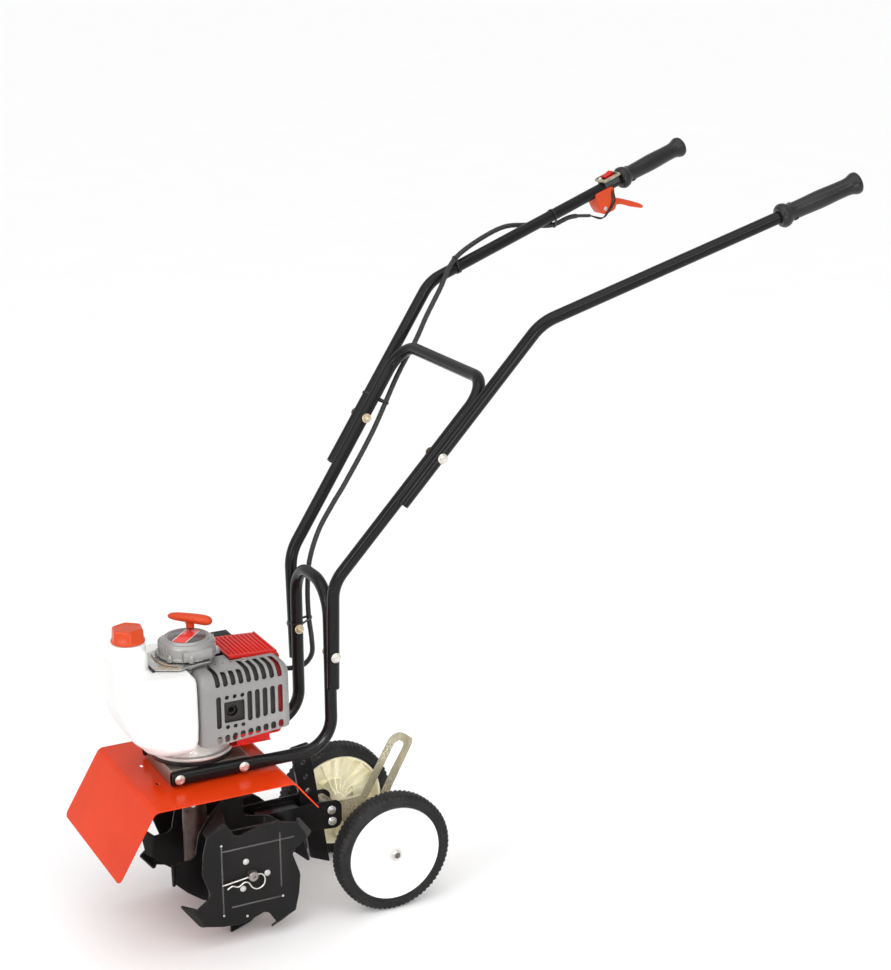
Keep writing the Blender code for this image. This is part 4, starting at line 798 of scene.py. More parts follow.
def engine_seat():
    """Folded steel tray under the engine, open to the rear."""
    half = 0.058
    bm = bmesh.new()
    outline = eased([(-half, -0.502), (half, -0.502), (half, -0.372), (-half, -0.372)], 0.004)
    levels = ((0.2656, 0.0), (SEAT_Z - 0.003, 0.0), (SEAT_Z - 0.001, 0.0006), (SEAT_Z, 0.0026))
    loft(bm, [[Vector((x * (1 - inset / half), y + (inset if y < -0.45 else -inset), z)) for x, y in outline]
        for z, inset in levels])
    tray = raw("seat_tray", bm, BARE_STEEL)
    combine(tray, mesh_of(box, (-half + 0.0025, -0.4995, 0.25), (half - 0.0025, -0.36, SEAT_Z - 0.0025),
        bevel=0.0015))
    combine(tray, mesh_of(rod, 0.023, 0.25, 0.3, CRANK, 40))
    rounded(tray, 0.0004)
    settle(tray, "frame", "engine_bracket")


# ---------------------------------------------------------------- engine

def cap_screw(bm, place, radius=0.0026, height=0.0026):
    """Socket cap screw standing on place, with its hexagon recess."""
    spin(bm, [(0, 0), (radius * 1.45, 0), (radius * 1.45, 0.0005), (radius, 0.0006), (radius, height * 0.85),
        (radius * 0.88, height), (radius * 0.55, height), (radius * 0.5, height * 0.45), (0, height * 0.45)],
        place, 24)


def lower_engine():
    """Rubber ring, clutch bell and crankcase."""
    piece("rubber_ring", mesh_of(spin, [(0.056, SEAT_Z + GAP), (0.0652, SEAT_Z + GAP), (0.0665, 0.2992),
        (0.056, 0.2992)], CRANK, 72, True, 0.0012), RUBBER, "frame", "mount_ring")
    bm = bmesh.new()
    spin(bm, [(0.056, 0.2995), (0.066, 0.2995), (0.066, 0.3045), (0.0625, 0.3062), (0.0605, 0.31),
        (0.056, 0.324), (0.05, 0.338), (0.044, 0.3457), (0.0125, 0.3457), (0.0125, 0.341), (0.041, 0.341),
        (0.046, 0.336), (0.056, 0.306)], CRANK, 96, True, 0.0012)
    for i in range(8):
        turn = Matrix.Rotation(2 * pi * (i + 0.5) / 8, 4, "Z")
        rib = CRANK @ turn
        loft(bm, [[rib @ Vector((r, s * 0.0014, z)) for r, z in ((0.048, 0.339), (0.057, 0.32),
            (0.06, 0.3085), (0.054, 0.3085), (0.044, 0.339))] for s in (-1, 1)])
        cap_screw(bm, rib @ Matrix.Rotation(pi / 8, 4, "Z") @ upright(0.0628, 0, 0.3045), 0.0017, 0.002)
    piece("clutch_bell", bm, CAST, "frame", "clutch_housing")

    bm = bmesh.new()
    spin(bm, [(0.0125, 0.346), (0.04, 0.346), (0.04, 0.3765), (0.0412, 0.377), (0.0412, 0.3795), (0.04, 0.38),
        (0.04, 0.41), (0.0125, 0.41)], CRANK, 72, True, 0.001)
    box(bm, (-0.03, CRANK_Y + 0.03, 0.352), (0.03, -0.3985, 0.404), bevel=0.004)
    for i in range(12):
        rib = CRANK @ Matrix.Rotation(2 * pi * i / 12, 4, "Z")
        box(bm, (0.0385, -0.001, 0.348), (0.0425, 0.001, 0.408), rib, 0.0006, 2)
    piece("crank_case", bm, CAST, "frame", "crankcase")


def cylinder_block():
    """Finned barrel and head with the spark plug."""
    bm = bmesh.new()
    centre, start, end, fins = CYLINDER_Z, -0.398, -0.318, 11
    pitch = (end - start) / fins
    for i in range(fins):
        y = start + pitch * i
        reach = 0.0335 if i < fins - 2 else 0.03
        outline = eased([(-0.0315, centre - reach), (0.0315, centre - reach), (0.0315, centre + reach),
            (-0.0315, centre + reach)], 0.009)
        place = pointing((0, y + pitch, 0), (0, -1, 0), (1, 0, 0))
        prism(bm, outline, place, 0.0024)
    rod(bm, 0.0235, 0, end - start - 0.0005, pointing((0, start + 0.0002, centre), (0, 1, 0)), 40)
    piece("finned_barrel", bm, CAST, "frame", "cylinder")
    bm = bmesh.new()
    plug = pointing((0, -0.319, centre), (0, 1, 0))
    rod(bm, 0.0052, 0, 0.003, plug, 6)
    piece("spark_plug", bm, BRIGHT_STEEL, "frame", (), 25)


def silencer():
    """Pressed silencer with a seam, an outlet and its screws."""
    bm = bmesh.new()
    box(bm, (0.033, -0.403, 0.346), (0.079, -0.333, 0.418), bevel=0.007, segments=5)
    box(bm, (0.0545, -0.405, 0.344), (0.0565, -0.331, 0.42), bevel=0.0008)
    outlet = along_x((0.08, OUTLET_Y, OUTLET_Z))
    spin(bm, [(0.005, -0.004), (0.0085, -0.004), (0.0085, 0.0035), (0.007, 0.0045), (0.005, 0.0045),
        (0.0046, 0.0)], outlet, 36, True, 0.0004)
    piece("silencer_body", bm, HEAT_AND_SHADE_DARK, "frame", "muffler")
    bm = bmesh.new()
    for y, z in ((-0.356, 0.362), (-0.356, 0.402)):
        cap_screw(bm, along_x((0.0785, y, z)), 0.0032, 0.0035)
    piece("silencer_screws", bm, BRIGHT_STEEL, "frame", (), 25)


def cover_section(inset):
    """Outer line of the muffler cover across the machine: a flat top, a tight bend and a flat side."""
    x, top, bend = COVER_X - inset, COVER_Z[1] - inset, 0.021 - inset
    side = [(x, COVER_Z[0] + 0.014), (x - 0.0025, COVER_Z[0])]
    return [(0.012, top), (0.05, top)] + arc(x - bend, top - bend, bend, 90, 0, 12) + side


def engine_space(bm, grow=0.0, upper=0.0495):
    profile = [(0.072, 0.29), (0.056, 0.351), (0.0495, 0.356), (0.0495, 0.443), (upper, 0.4435), (upper, 0.5)]
    profile = [(0.0, 0.29)] + [(radius + grow, height) for radius, height in profile] + [(0.0, 0.5)]
    spin(bm, profile, CRANK, 96)


def slotted_cover():
    """Rounded cover over the silencer with its slots, window, notches and dots."""
    front, rear = COVER_Y
    wall, r = 0.0018, 0.013

    def body(bm, inset, tail):
        rings = []
        for k in range(7):
            a = radians(90 * k / 6)
            rings.append((front + inset + (r - inset) * (1 - sin(a)), inset + (r - inset) * (1 - cos(a))))
        rings = rings[::-1]
        rings += [(front + rear - y, shrink) for y, shrink in rings[::-1]]
        loft(bm, [[Vector((x, y, z)) for x, z in cover_section(shrink) + tail] for y, shrink in rings])

    under = [(0.07, COVER_Z[0]), (0.056, 0.34), (0.04, 0.42), (0.012, 0.43)]
    cover = raw("slotted_cover", mesh_of(body, 0.0, under), GREY_PLASTIC)
    room = [(COVER_X - 0.006 - wall, 0.3), (-0.02, 0.3), (-0.02, COVER_Z[1] - wall)]
    combine(cover, mesh_of(body, wall, room))
    combine(cover, mesh_of(engine_space, upper=0.042))
    combine(cover, mesh_of(box, (-0.01, SHROUD_Y[0] - 0.0005, 0.4), (0.0385, rear + 0.01, 0.46)))
    floor = [(-0.47, 0.3), (-0.47, 0.336), (-0.458, 0.3301), (-0.44, 0.3301), (-0.313, 0.3428), (-0.3, 0.35),
        (-0.3, 0.3)]
    combine(cover, mesh_of(prism, eased(floor, 0.004, 4), in_side_view(-0.02), 0.15))
    slots, ends, wraps, tops = (bmesh.new() for _ in range(4))
    half = 0.0041
    face = COVER_X - 0.01
    for n, y in enumerate(COVER_COLUMNS):
        short = n in (1, 2, 3)
        if not short:
            low, high = 0.3591 + 0.0011 * n, 0.4124 + 0.0003 * n
            prism(slots, slot_shape(y, (low + high) / 2, half, (high - low) / 2), in_side_view(face), 0.02)
        start = 0.074 if short else 0.0372 + 0.0013 * n
        floor_z = 0.427
        prism(ends, slot_shape(y, floor_z + 0.008, half, 0.008, 8), in_side_view(face - 0.004), 0.024)
        box(wraps, (start + half, y - half, floor_z + 0.008), (COVER_X + 0.01, y + half, 0.46))
        rod(tops, half, 0.43, 0.46, upright(start + half, y), 16)
        notch_z = 0.34 + 0.0012 * n
        prism(slots, slot_shape(y, notch_z, 0.0045, 0.0066), in_side_view(face), 0.02)
        if short:
            for z in (0.4088, 0.36):
                prism(slots, arc(y + 0.001, z, 0.0036, 0, 330, 11), in_side_view(face), 0.02)
            prism(slots, arc(0.044, y + 0.001, 0.0022, 0, 330, 11), upright(0, 0, 0.43), 0.03)
    window = eased([(COVER_COLUMNS[1] - half, 0.3669), (COVER_COLUMNS[3] + half, 0.3669),
        (COVER_COLUMNS[3] + half, 0.4016), (COVER_COLUMNS[1] - half, 0.4016)], 0.0025)
    prism(slots, window, in_side_view(face), 0.02)
    for k in range(6):
        z = 0.362 + 0.0115 * k
        box(slots, (0.0745, rear - 0.008, z), (0.0795, rear + 0.005, z + 0.0058))
    for cutter in (slots, ends, wraps, tops):
        combine(cover, cutter)
    rounded(cover, 0.0004, 2, 50)
    settle(cover, "frame", "muffler_cover")
    piece("cover_screw", mesh_of(cap_screw, along_x((COVER_X - 0.0085, COVER_COLUMNS[5], 0.374)), 0.0028,
        0.0035), BRIGHT_STEEL, "frame", (), 25)
    painted_shade_sheet()


def inner_sheet(front, rear, start, low):
    """A thin sheet that follows the inside of the muffler cover between two places along the machine."""
    outer = [(start, COVER_Z[1] - 0.0042)] + cover_section(0.0042)[2:-2] + [(COVER_X - 0.0042, low)]
    inner = [(start, COVER_Z[1] - 0.005)] + cover_section(0.005)[2:-2] + [(COVER_X - 0.005, low)]
    bm = bmesh.new()
    across = pointing((0, front, 0), (0, 1, 0), (1, 0, 0))
    prism(bm, [(x, -z) for x, z in outer + inner[::-1]], across, rear - front)
    return bm


def painted_shade_sheet():
    """Dark inner sheet between the silencer and its cover, open at the silencer's outlet: painted shade for
    the dark inside of the cover behind its slots.
    """
    front, rear = COVER_Y[0] + 0.0045, COVER_COLUMNS[7] + 0.005
    shade_sheet = raw("painted_shade_sheet", inner_sheet(front, rear, 0.04, 0.342), HEAT_AND_SHADE_DARK)
    hole = bmesh.new()
    outlet = along_x((COVER_X - 0.02, OUTLET_Y, OUTLET_Z))
    rod(hole, 0.0092, 0, 0.03, outlet, 36)
    combine(shade_sheet, hole)
    combine(shade_sheet, mesh_of(engine_space, 0.003))
    settle(shade_sheet, "frame")


def slope_down(item, front):
    """Let a shroud piece's top fall slightly towards the rear."""
    for vert in item.data.vertices:
        if vert.co.z > 0.43:
            vert.co.z -= 0.055 * max(0.0, vert.co.y - front)


def red_shroud():
    """Moulded shroud over the cylinder: ribbed top, closed rear, a foot behind the bell."""
    front, rear = SHROUD_Y
    top, wall, floor = 0.453, 0.0025, 0.31
    bm = bmesh.new()
    outer = eased([(front, top - 0.003), (front, top - 0.0022), (rear, top - 0.0022), (rear, floor),
        (front - 0.01, floor), (front - 0.01, floor + wall), (rear - wall, floor + wall),
        (rear - wall, top - wall - 0.0022), (front, top - wall - 0.0022)], 0.008, 5)
    prism(bm, outer, in_side_view(-0.062), 0.098)
    shroud = raw("ribbed_shroud", bm, RED_PLASTIC)
    combine(shroud, mesh_of(engine_space))
    combine(shroud, mesh_of(box, (0.026, rear - 0.01, 0.33), (0.1, rear + 0.01, 0.44)))
    ledge = bmesh.new()
    box(ledge, (0.03, front - 0.01, floor), (0.06, front + 0.055, floor + wall), bevel=0.0009)
    box(ledge, (0.056, front - 0.002, floor + 0.0005), (0.059, front + 0.054, 0.356), bevel=0.0009)
    combine(shroud, ledge, "UNION")
    slope_down(shroud, front)
    rounded(shroud, 0.0007, 2, 50)
    settle(shroud, "frame", "cylinder_cover")
    ribs = bmesh.new()
    count = 10
    for i in range(count):
        y = front + 0.003 + (rear - front - 0.012) * (i + 0.5) / count
        low, high = 0.0022, 0.0013
        rings = []
        for x, lift, w in ((-0.058, -0.0006, 0.4), (-0.056, 0.0, 1), (0.03, 0.0, 1), (0.0335, -0.001, 0.7)):
            z = top - 0.0024
            rings.append([Vector((x, y - low * w, z)), Vector((x, y - high * w, top + lift)),
                Vector((x, y + high * w, top + lift)), Vector((x, y + low * w, z))])
        loft(ribs, rings)
    box(ribs, (0.03, front + 0.0005, top - 0.006), (0.0358, rear - 0.003, top + 0.0002), bevel=0.0012)
    box(ribs, (-0.06, rear - 0.0068, top - 0.006), (0.0358, rear - 0.003, top + 0.0002), bevel=0.0012)
    slope_down(piece("shroud_ribs", ribs, RED_PLASTIC, "frame"), front)
    # Red sheet behind the cover's rear slots, in the darker red: the darkening is painted shade of the
    # recess.
    side = inner_sheet(COVER_COLUMNS[7] + 0.0055, COVER_Y[1] - 0.004, 0.0365, 0.344)
    piece("shroud_side", side, SHADED_RED, "frame")


def starter():
    """Cast fan case and recoil housing with lobes, screw bosses, a rope guide and a plain striped badge."""
    low, high = 0.4103, 0.452
    piece("fan_case", mesh_of(spin, [(0.042, low), (0.046, low), (0.046, 0.443), (0.0415, 0.444),
        (0.0415, high + 0.005), (0.04, high + 0.005), (0.04, 0.443), (0.042, 0.442)], CRANK, 96, True,
        0.0006), GREY_CAST, "frame", "fan_housing")
    bm = bmesh.new()
    wall = [(0.04, DECK_Z), (0.047, DECK_Z), (0.047, DECK_Z + 0.003), (0.0448, DECK_Z + 0.004),
        (0.044, 0.4765), (0.0405, 0.4812), (0.037, 0.4822), (0.036, 0.4838), (0.0352, 0.4852),
        (0.0335, 0.4855), (0.0325, 0.4845), (0.0, 0.4845), (0.0, 0.4825), (0.034, 0.4815), (0.04, 0.477)]
    spin(bm, wall, CRANK, 120, True, 0.001)
    box(bm, (0.036, -0.469, DECK_Z), (0.0475, -0.419, 0.4755), bevel=0.0045, segments=4)
    for i in range(22):
        a = radians(95 + 200 * i / 21)
        lobe = CRANK @ Matrix.Rotation(a, 4, "Z")
        box(bm, (0.0425, -0.0017, DECK_Z + 0.0035), (0.0458, 0.0017, 0.479), lobe, 0.0011, 2)
    for degree in BOSS_ANGLES:
        boss = CRANK @ Matrix.Rotation(radians(degree), 4, "Z") @ upright(BOSS_R, 0, 0)
        spin(bm, [(0, DECK_Z), (0.0052, DECK_Z), (0.005, 0.464), (0.0042, 0.4655), (0, 0.4655)], boss, 24,
            ease=0.0006)
        box(bm, (-0.01, -0.0022, DECK_Z), (-0.001, 0.0022, 0.474), boss, 0.0008, 2)
    piece("recoil_housing", bm, GREY_CAST, "frame", "starter_housing")
    bm = bmesh.new()
    for degree in BOSS_ANGLES:
        turn = Matrix.Rotation(radians(degree), 4, "Z")
        cap_screw(bm, CRANK @ turn @ upright(BOSS_R, 0, 0.4655), 0.0026, 0.003)
    piece("housing_screws", bm, BRIGHT_STEEL, "frame", (), 25)
    piece("badge", mesh_of(spin, [(0, 0.4846), (0.03, 0.4846), (0.03, 0.485), (0.0296, 0.48525),
        (0, 0.48525)], CRANK, 96), BADGE, "frame")
    bm = bmesh.new()
    guide = upright(ROPE_X, ROPE_Y, 0.4848)
    spin(bm, [(0.0026, 0), (0.0062, 0), (0.0056, 0.0006), (0.0026, 0.0006)], guide, 28, True, 0.0002)
    piece("rope_guide", bm, DARK_PLASTIC, "frame")


def pull_handle():
    """T handle: a round-ended crossbar, a little thicker towards one end, on a tapered stem."""
    place = pointing((ROPE_X, ROPE_Y, 0.4859), (0, 0, 1), (0.7, 0.71, 0))
    height = 0.0162
    bm = bmesh.new()
    rings = []
    count = 26
    for i in range(count + 1):
        t = -1 + 2 * i / count
        x = 0.0385 * t
        end = sqrt(max(0.0, 1 - abs(t) ** 5))
        half_w = (0.01 - 0.0006 * t * t + 0.0012 * t) * max(end, 0.05)
        half_h = (0.0074 + 0.0002 * t * t + 0.0016 * t) * max(end, 0.05)
        droop = -0.001 * t * t - 0.001 * t
        rings.append([place @ Vector((x, half_w * cos(a), height + droop + half_h * sin(a)))
            for a in [2 * pi * k / 20 for k in range(20)]])
    loft(bm, rings)
    handle = raw("t_handle", bm, ORANGE_PLASTIC)
    stem = bmesh.new()
    rings = []
    for z, half_x, half_y in ((0.0004, 0.0072, 0.005), (0.004, 0.0068, 0.0046), (0.008, 0.0078, 0.0046),
            (0.012, 0.0115, 0.0052), (0.0155, 0.016, 0.006)):
        rings.append([place @ Vector((half_x * cos(a), half_y * sin(a), z))
            for a in [2 * pi * k / 24 for k in range(24)]])
    loft(stem, rings)
    combine(handle, stem, "UNION")
    melted(handle, 0.0006, 8, 60)
    settle(handle, "starter_pull", "starter_handle")
    starter_rope()


def starter_rope():
    """Rope from the reel housing into the handle."""
    foot, head = Vector((ROPE_X, ROPE_Y, 0.479)), Vector((ROPE_X, ROPE_Y, 0.4915))
    rope = raw("starter_rope", mesh_of(sweep, refined([foot, head], 0.0005), 0.0017, sides=14), SLEEVE)
    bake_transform(rope)


def tank():
    """Blow-moulded tank wrapped round the engine, with soft edges, a mould seam and a threaded neck."""
    base, top = TANK_Z
    levels = ((base, 0.014, 0.034), (base + 0.004, 0.008, 0.031), (base + 0.01, 0.003, 0.026),
        (0.345, 0.001, 0.014), (0.368, 0.0, 0.005), (0.385, 0.0, 0.001), (0.42, 0.0, 0.0),
        (top - 0.012, 0.0005, 0.0005), (top - 0.006, 0.002, 0.002), (top - 0.002, 0.006, 0.006),
        (top, 0.013, 0.013))
    bm = bmesh.new()
    rings = []
    for height, inset, front_inset in levels:
        x0, y0 = TANK_X[0] + inset, TANK_Y[0] + front_inset
        x1, y1 = TANK_X[1] - inset, TANK_Y[1] - min(inset, 0.006)
        front, back = 0.046 - inset / 2, 0.01
        plan = (arc(x0 + front, y0 + front, front, 180, 270, 12)
            + arc(x1 - front, y0 + front, front, 270, 360, 12) + arc(x1 - back, y1 - back, back, 0, 90, 5)
            + arc(x0 + back, y1 - back, back, 90, 180, 5))
        rings.append([Vector((x, y, height)) for x, y in plan])
    loft(bm, rings)
    body = raw("tank_shell", bm, WHITE_TANK)
    combine(body, mesh_of(spin, [(0, 0.435), (0.029, 0.435), (0.028, 0.46), (0.027, 0.474), (0.0268, 0.487),
        (0.0255, 0.4915), (0, 0.492)], upright(CAP_CENTRE.x, CAP_CENTRE.y), 48), "UNION")
    combine(body, mesh_of(box, (-0.044, -0.5695, 0.42), (0.035, -0.518, 0.4855), bevel=0.013, segments=6),
        "UNION")
    combine(body, mesh_of(engine_space))
    melted(body, 0.0016, 8, 180)
    for vert in body.data.vertices:
        away = abs(vert.co.y - SEAM_Y)
        if away < 0.0016 and vert.co.z < 0.452:
            vert.co += vert.normal * 0.0006 * (1 - away / 0.0016)
    settle(body, "frame", "fuel_tank")
    bm = bmesh.new()
    rim = [(0.017, 0.49), (0.0205, 0.49)]
    for k in range(3):
        z = 0.4935 + 0.0024 * k
        rim += [(0.0196, z - 0.0006), (0.0205, z), (0.0205, z + 0.0006), (0.0196, z + 0.0012)]
    rim += [(0.0196, 0.5022), (0.019, 0.5025), (0.0175, 0.5025), (0.017, 0.502)]
    spin(bm, rim, upright(CAP_CENTRE.x, CAP_CENTRE.y), 64, True)
    piece("filler_thread", bm, WHITE_TANK, "frame")


def screw_cap():
    """Six-sided cap with a rolled top edge, hollow over the filler thread."""
    base = CAP_CENTRE.z
    bm = bmesh.new()
    place = upright(CAP_CENTRE.x, CAP_CENTRE.y, base) @ Matrix.Rotation(radians(20), 4, "Z")
    steps, flats = 198, 6
    levels = ((0.0, 0.0256, 0.0), (0.0008, 0.0265, 0.0), (0.003, 0.0266, 0.0), (0.0048, 0.0262, 0.6),
        (0.0062, 0.026, 1.0), (0.0196, 0.0252, 1.0), (0.0214, 0.0246, 1.0), (0.0226, 0.0232, 1.0),
        (0.0229, 0.0218, 0.9), (0.0226, 0.0188, 0.0), (0.0219, 0.018, 0.0), (0.0219, 0.006, 0.0),
        (0.0222, 0.0, 0.0))
    rings = []
    tip = None
    for height, radius, depth in levels:
        if not radius:
            tip = bm.verts.new(place @ Vector((0, 0, height)))
            continue
        ring = []
        for i in range(steps):
            a = 2 * pi * i / steps
            off = (a + pi / flats) % (2 * pi / flats) - pi / flats
            reach = radius * (1 - depth + depth * cos(pi / flats) / cos(off) * 1.035)
            ring.append(bm.verts.new(place @ Vector((min(reach, radius) * cos(a), min(reach, radius) * sin(a),
                height))))
        rings.append(ring)
    skin(bm, rings)
    last = rings[-1]
    for i in range(steps):
        bm.faces.new((last[i], last[(i + 1) % steps], tip))
    inner = [[bm.verts.new(place @ Vector((r * cos(2 * pi * i / steps), r * sin(2 * pi * i / steps), z)))
        for i in range(steps)] for r, z in ((0.0212, 0.0), (0.0212, 0.011))]
    skin(bm, [rings[0], inner[0], inner[1]])
    bm.faces.new(inner[1])
    piece("fluted_cap", bm, ORANGE_PLASTIC, "cap", "fuel_cap", 40)


def tank_strap():
    """Steel bracket over the tank, with a rubber-trimmed front edge and two wires over it."""
    outline = eased([(-0.026, -0.506), (-0.004, -0.5165), (0.043, -0.5165), (0.062, -0.48), (0.056, -0.464),
        (0.05, -0.425), (-0.046, -0.425), (-0.046, -0.47)], 0.003)
    strap = raw("strap_plate", mesh_of(prism, outline, upright(0, 0, 0.454), 0.0022), BRIGHT_STEEL)
    combine(strap, mesh_of(rod, 0.0345, 0.44, 0.47, CRANK, 64))
    rounded(strap, 0.0005)
    settle(strap, "frame", "tank_bracket")
    piece("strap_trim", mesh_of(sweep, refined([Vector((-0.006, -0.5172, 0.4538)),
        Vector((0.044, -0.5172, 0.4538))], 0.004), lambda n, p: (0.002, 0.0027), side=(0, 1, 0), sides=16),
        RUBBER, "frame")
    bm = bmesh.new()
    sweep(bm, smooth_points([(0.042, -0.516, 0.457), (0.048, -0.506, 0.459), (0.056, -0.492, 0.457),
        (0.06, -0.48, 0.4575)], 0.002), 0.0011, sides=12)
    sweep(bm, smooth_points([(-0.018, -0.499, 0.4572), (0.01, -0.501, 0.4576), (0.034, -0.495, 0.4576),
        (0.05, -0.48, 0.4572)], 0.002), 0.001, sides=12)
    piece("strap_wire", bm, TAN_WIRE, "frame")


def right_side_fittings():
    """Carburettor, grooved air filter cover, ribbed plug boot and the ignition lead."""
    bm = bmesh.new()
    run = along_x((-0.0335, -0.365, 0.383), -1)
    spin(bm, [(0, 0), (0.016, 0), (0.016, 0.004), (0.0135, 0.006), (0.0135, 0.03), (0.016, 0.032),
        (0.016, 0.036), (0, 0.036)], run, 48, ease=0.0008)
    box(bm, (-0.064, -0.383, 0.36), (-0.04, -0.347, 0.404), bevel=0.0025)
    for y in (-0.379, -0.351):
        cap_screw(bm, upright(-0.052, y, 0.404), 0.0022, 0.0024)
    spin(bm, [(0, 0), (0.007, 0), (0.007, 0.005), (0.005, 0.007), (0, 0.007)],
        upright(-0.052, -0.365, 0.4035), 28, ease=0.0006)
    piece("carburettor_body", bm, CAST, "frame", "carburettor")
    cover = raw("filter_cover", mesh_of(box, (-0.105, -0.405, 0.35), (-0.0703, -0.325, 0.435), bevel=0.01,
        segments=5), DARK_PLASTIC)
    grooves = bmesh.new()
    for k in range(6):
        z = 0.364 + 0.0105 * k
        box(grooves, (-0.107, -0.395, z), (-0.1036, -0.335, z + 0.0045))
    combine(cover, grooves)
    rounded(cover, 0.0006)
    settle(cover, "frame", "air_filter_cover")
    bm = bmesh.new()
    knob = along_x((-0.1036, -0.365, 0.424), -1)
    spin(bm, [(0, -0.002), (0.005, -0.002), (0.005, 0.0008), (0.004, 0.0012), (0, 0.0012)], knob, 18,
        ease=0.0003)
    box(bm, (-0.096, -0.398, 0.432), (-0.056, -0.342, 0.445), bevel=0.005)
    for k in range(5):
        x = -0.092 + 0.007 * k
        box(bm, (x, -0.394, 0.442), (x + 0.0028, -0.346, 0.4475), bevel=0.001, segments=2)
    piece("plug_boot", bm, DARK_PLASTIC, "frame")
    piece("ignition_lead", mesh_of(sweep, smooth_points([(-0.05, -0.39, 0.45), (-0.046, -0.406, 0.453),
        (-0.049, -0.418, 0.449), (-0.05, -0.42, 0.438)], 0.002), 0.0026, sides=14), RUBBER, "frame")


# ---------------------------------------------------------------- gearbox and tines

def gearbox():
    """Cast column with its flange, gussets and the drum round the worm wheel."""
    flange_top = FENDER_TOP - FENDER_SHEET - GAP
    neck_top = SEAT_Z - 0.0033
    bm = bmesh.new()
    spin(bm, [(0, 0.08), (0.0165, 0.08), (0.02, 0.088), (0.0198, 0.19), (0.0186, 0.196), (0.0186, 0.248),
        (0.0215, 0.253), (0.034, 0.256), (0.034, flange_top), (0.022, flange_top), (0.022, neck_top),
        (0, neck_top)], CRANK, 72)
    column = raw("gear_column", bm, BROWN_CAST)
    drum = bmesh.new()
    half = 0.021
    spin(drum, [(0, -half), (0.04, -half), (0.044, -half + 0.004), (0.044, -0.002), (0.0448, -0.0015),
        (0.0448, 0.0015), (0.044, 0.002), (0.044, half - 0.004), (0.04, half), (0, half)], SHAFT, 96)
    combine(column, drum, "UNION")
    gussets = bmesh.new()
    for i in range(6):
        fin = CRANK @ Matrix.Rotation(radians(22 + 60 * i), 4, "Z") @ pointing((0, -0.0016, 0), (0, 1, 0))
        prism(gussets, [(0.016, -0.2575), (0.032, -0.2575), (0.032, -0.254), (0.0175, -0.226)], fin, 0.0032)
    combine(column, gussets, "UNION")
    melted(column, 0.0011, 5, 180)
    combine(column, mesh_of(rod, 0.0108, 0.086, 0.3, CRANK, 32))
    rooms = bmesh.new()
    wheel = SHAFT
    spin(rooms, [(0, -0.03), (SHAFT_R + 0.0006, -0.03), (SHAFT_R + 0.0006, -0.0115), (0.0395, -0.0115),
        (0.0395, 0.0115), (SHAFT_R + 0.0006, 0.0115), (SHAFT_R + 0.0006, 0.03), (0, 0.03)], wheel, 64)
    combine(column, rooms)
    settle(column, "frame", "gearbox_housing")
    for side in (1, -1):
        bm = bmesh.new()
        face = along_x((side * 0.0207, TINE_Y, TINE_Z), side)
        spin(bm, [(SHAFT_R + 0.0008, 0), (0.033, 0), (0.033, 0.0012), (0.0318, 0.002), (0.016, 0.002),
            (0.015, 0.0034), (SHAFT_R + 0.0008, 0.0034)], face, 64, True, 0.0005)
        for i in range(6):
            a = 2 * pi * (i + 0.3) / 6
            cap_screw(bm, face @ Matrix.Translation((0.0262 * cos(a), 0.0262 * sin(a), 0.0019)), 0.0023,
                0.0026)
        piece(f"case_cover_{'left' if side > 0 else 'right'}", bm, BROWN_CAST, "frame")
    bm = bmesh.new()
    out = Vector((cos(radians(-24)), sin(radians(-24)), 0))
    plug = pointing(Vector((0, CRANK_Y, 0.206)) + out * 0.0178, out, (0, 0, 1))
    spin(bm, [(0, 0), (0.0048, 0), (0.0048, 0.003), (0.004, 0.0036), (0, 0.0036)], plug, 6)
    spin(bm, [(0, 0.003), (0.0024, 0.003), (0.0022, 0.0052), (0, 0.0054)], plug, 20)
    piece("level_plug", bm, BRIGHT_STEEL, "frame", (), 25)


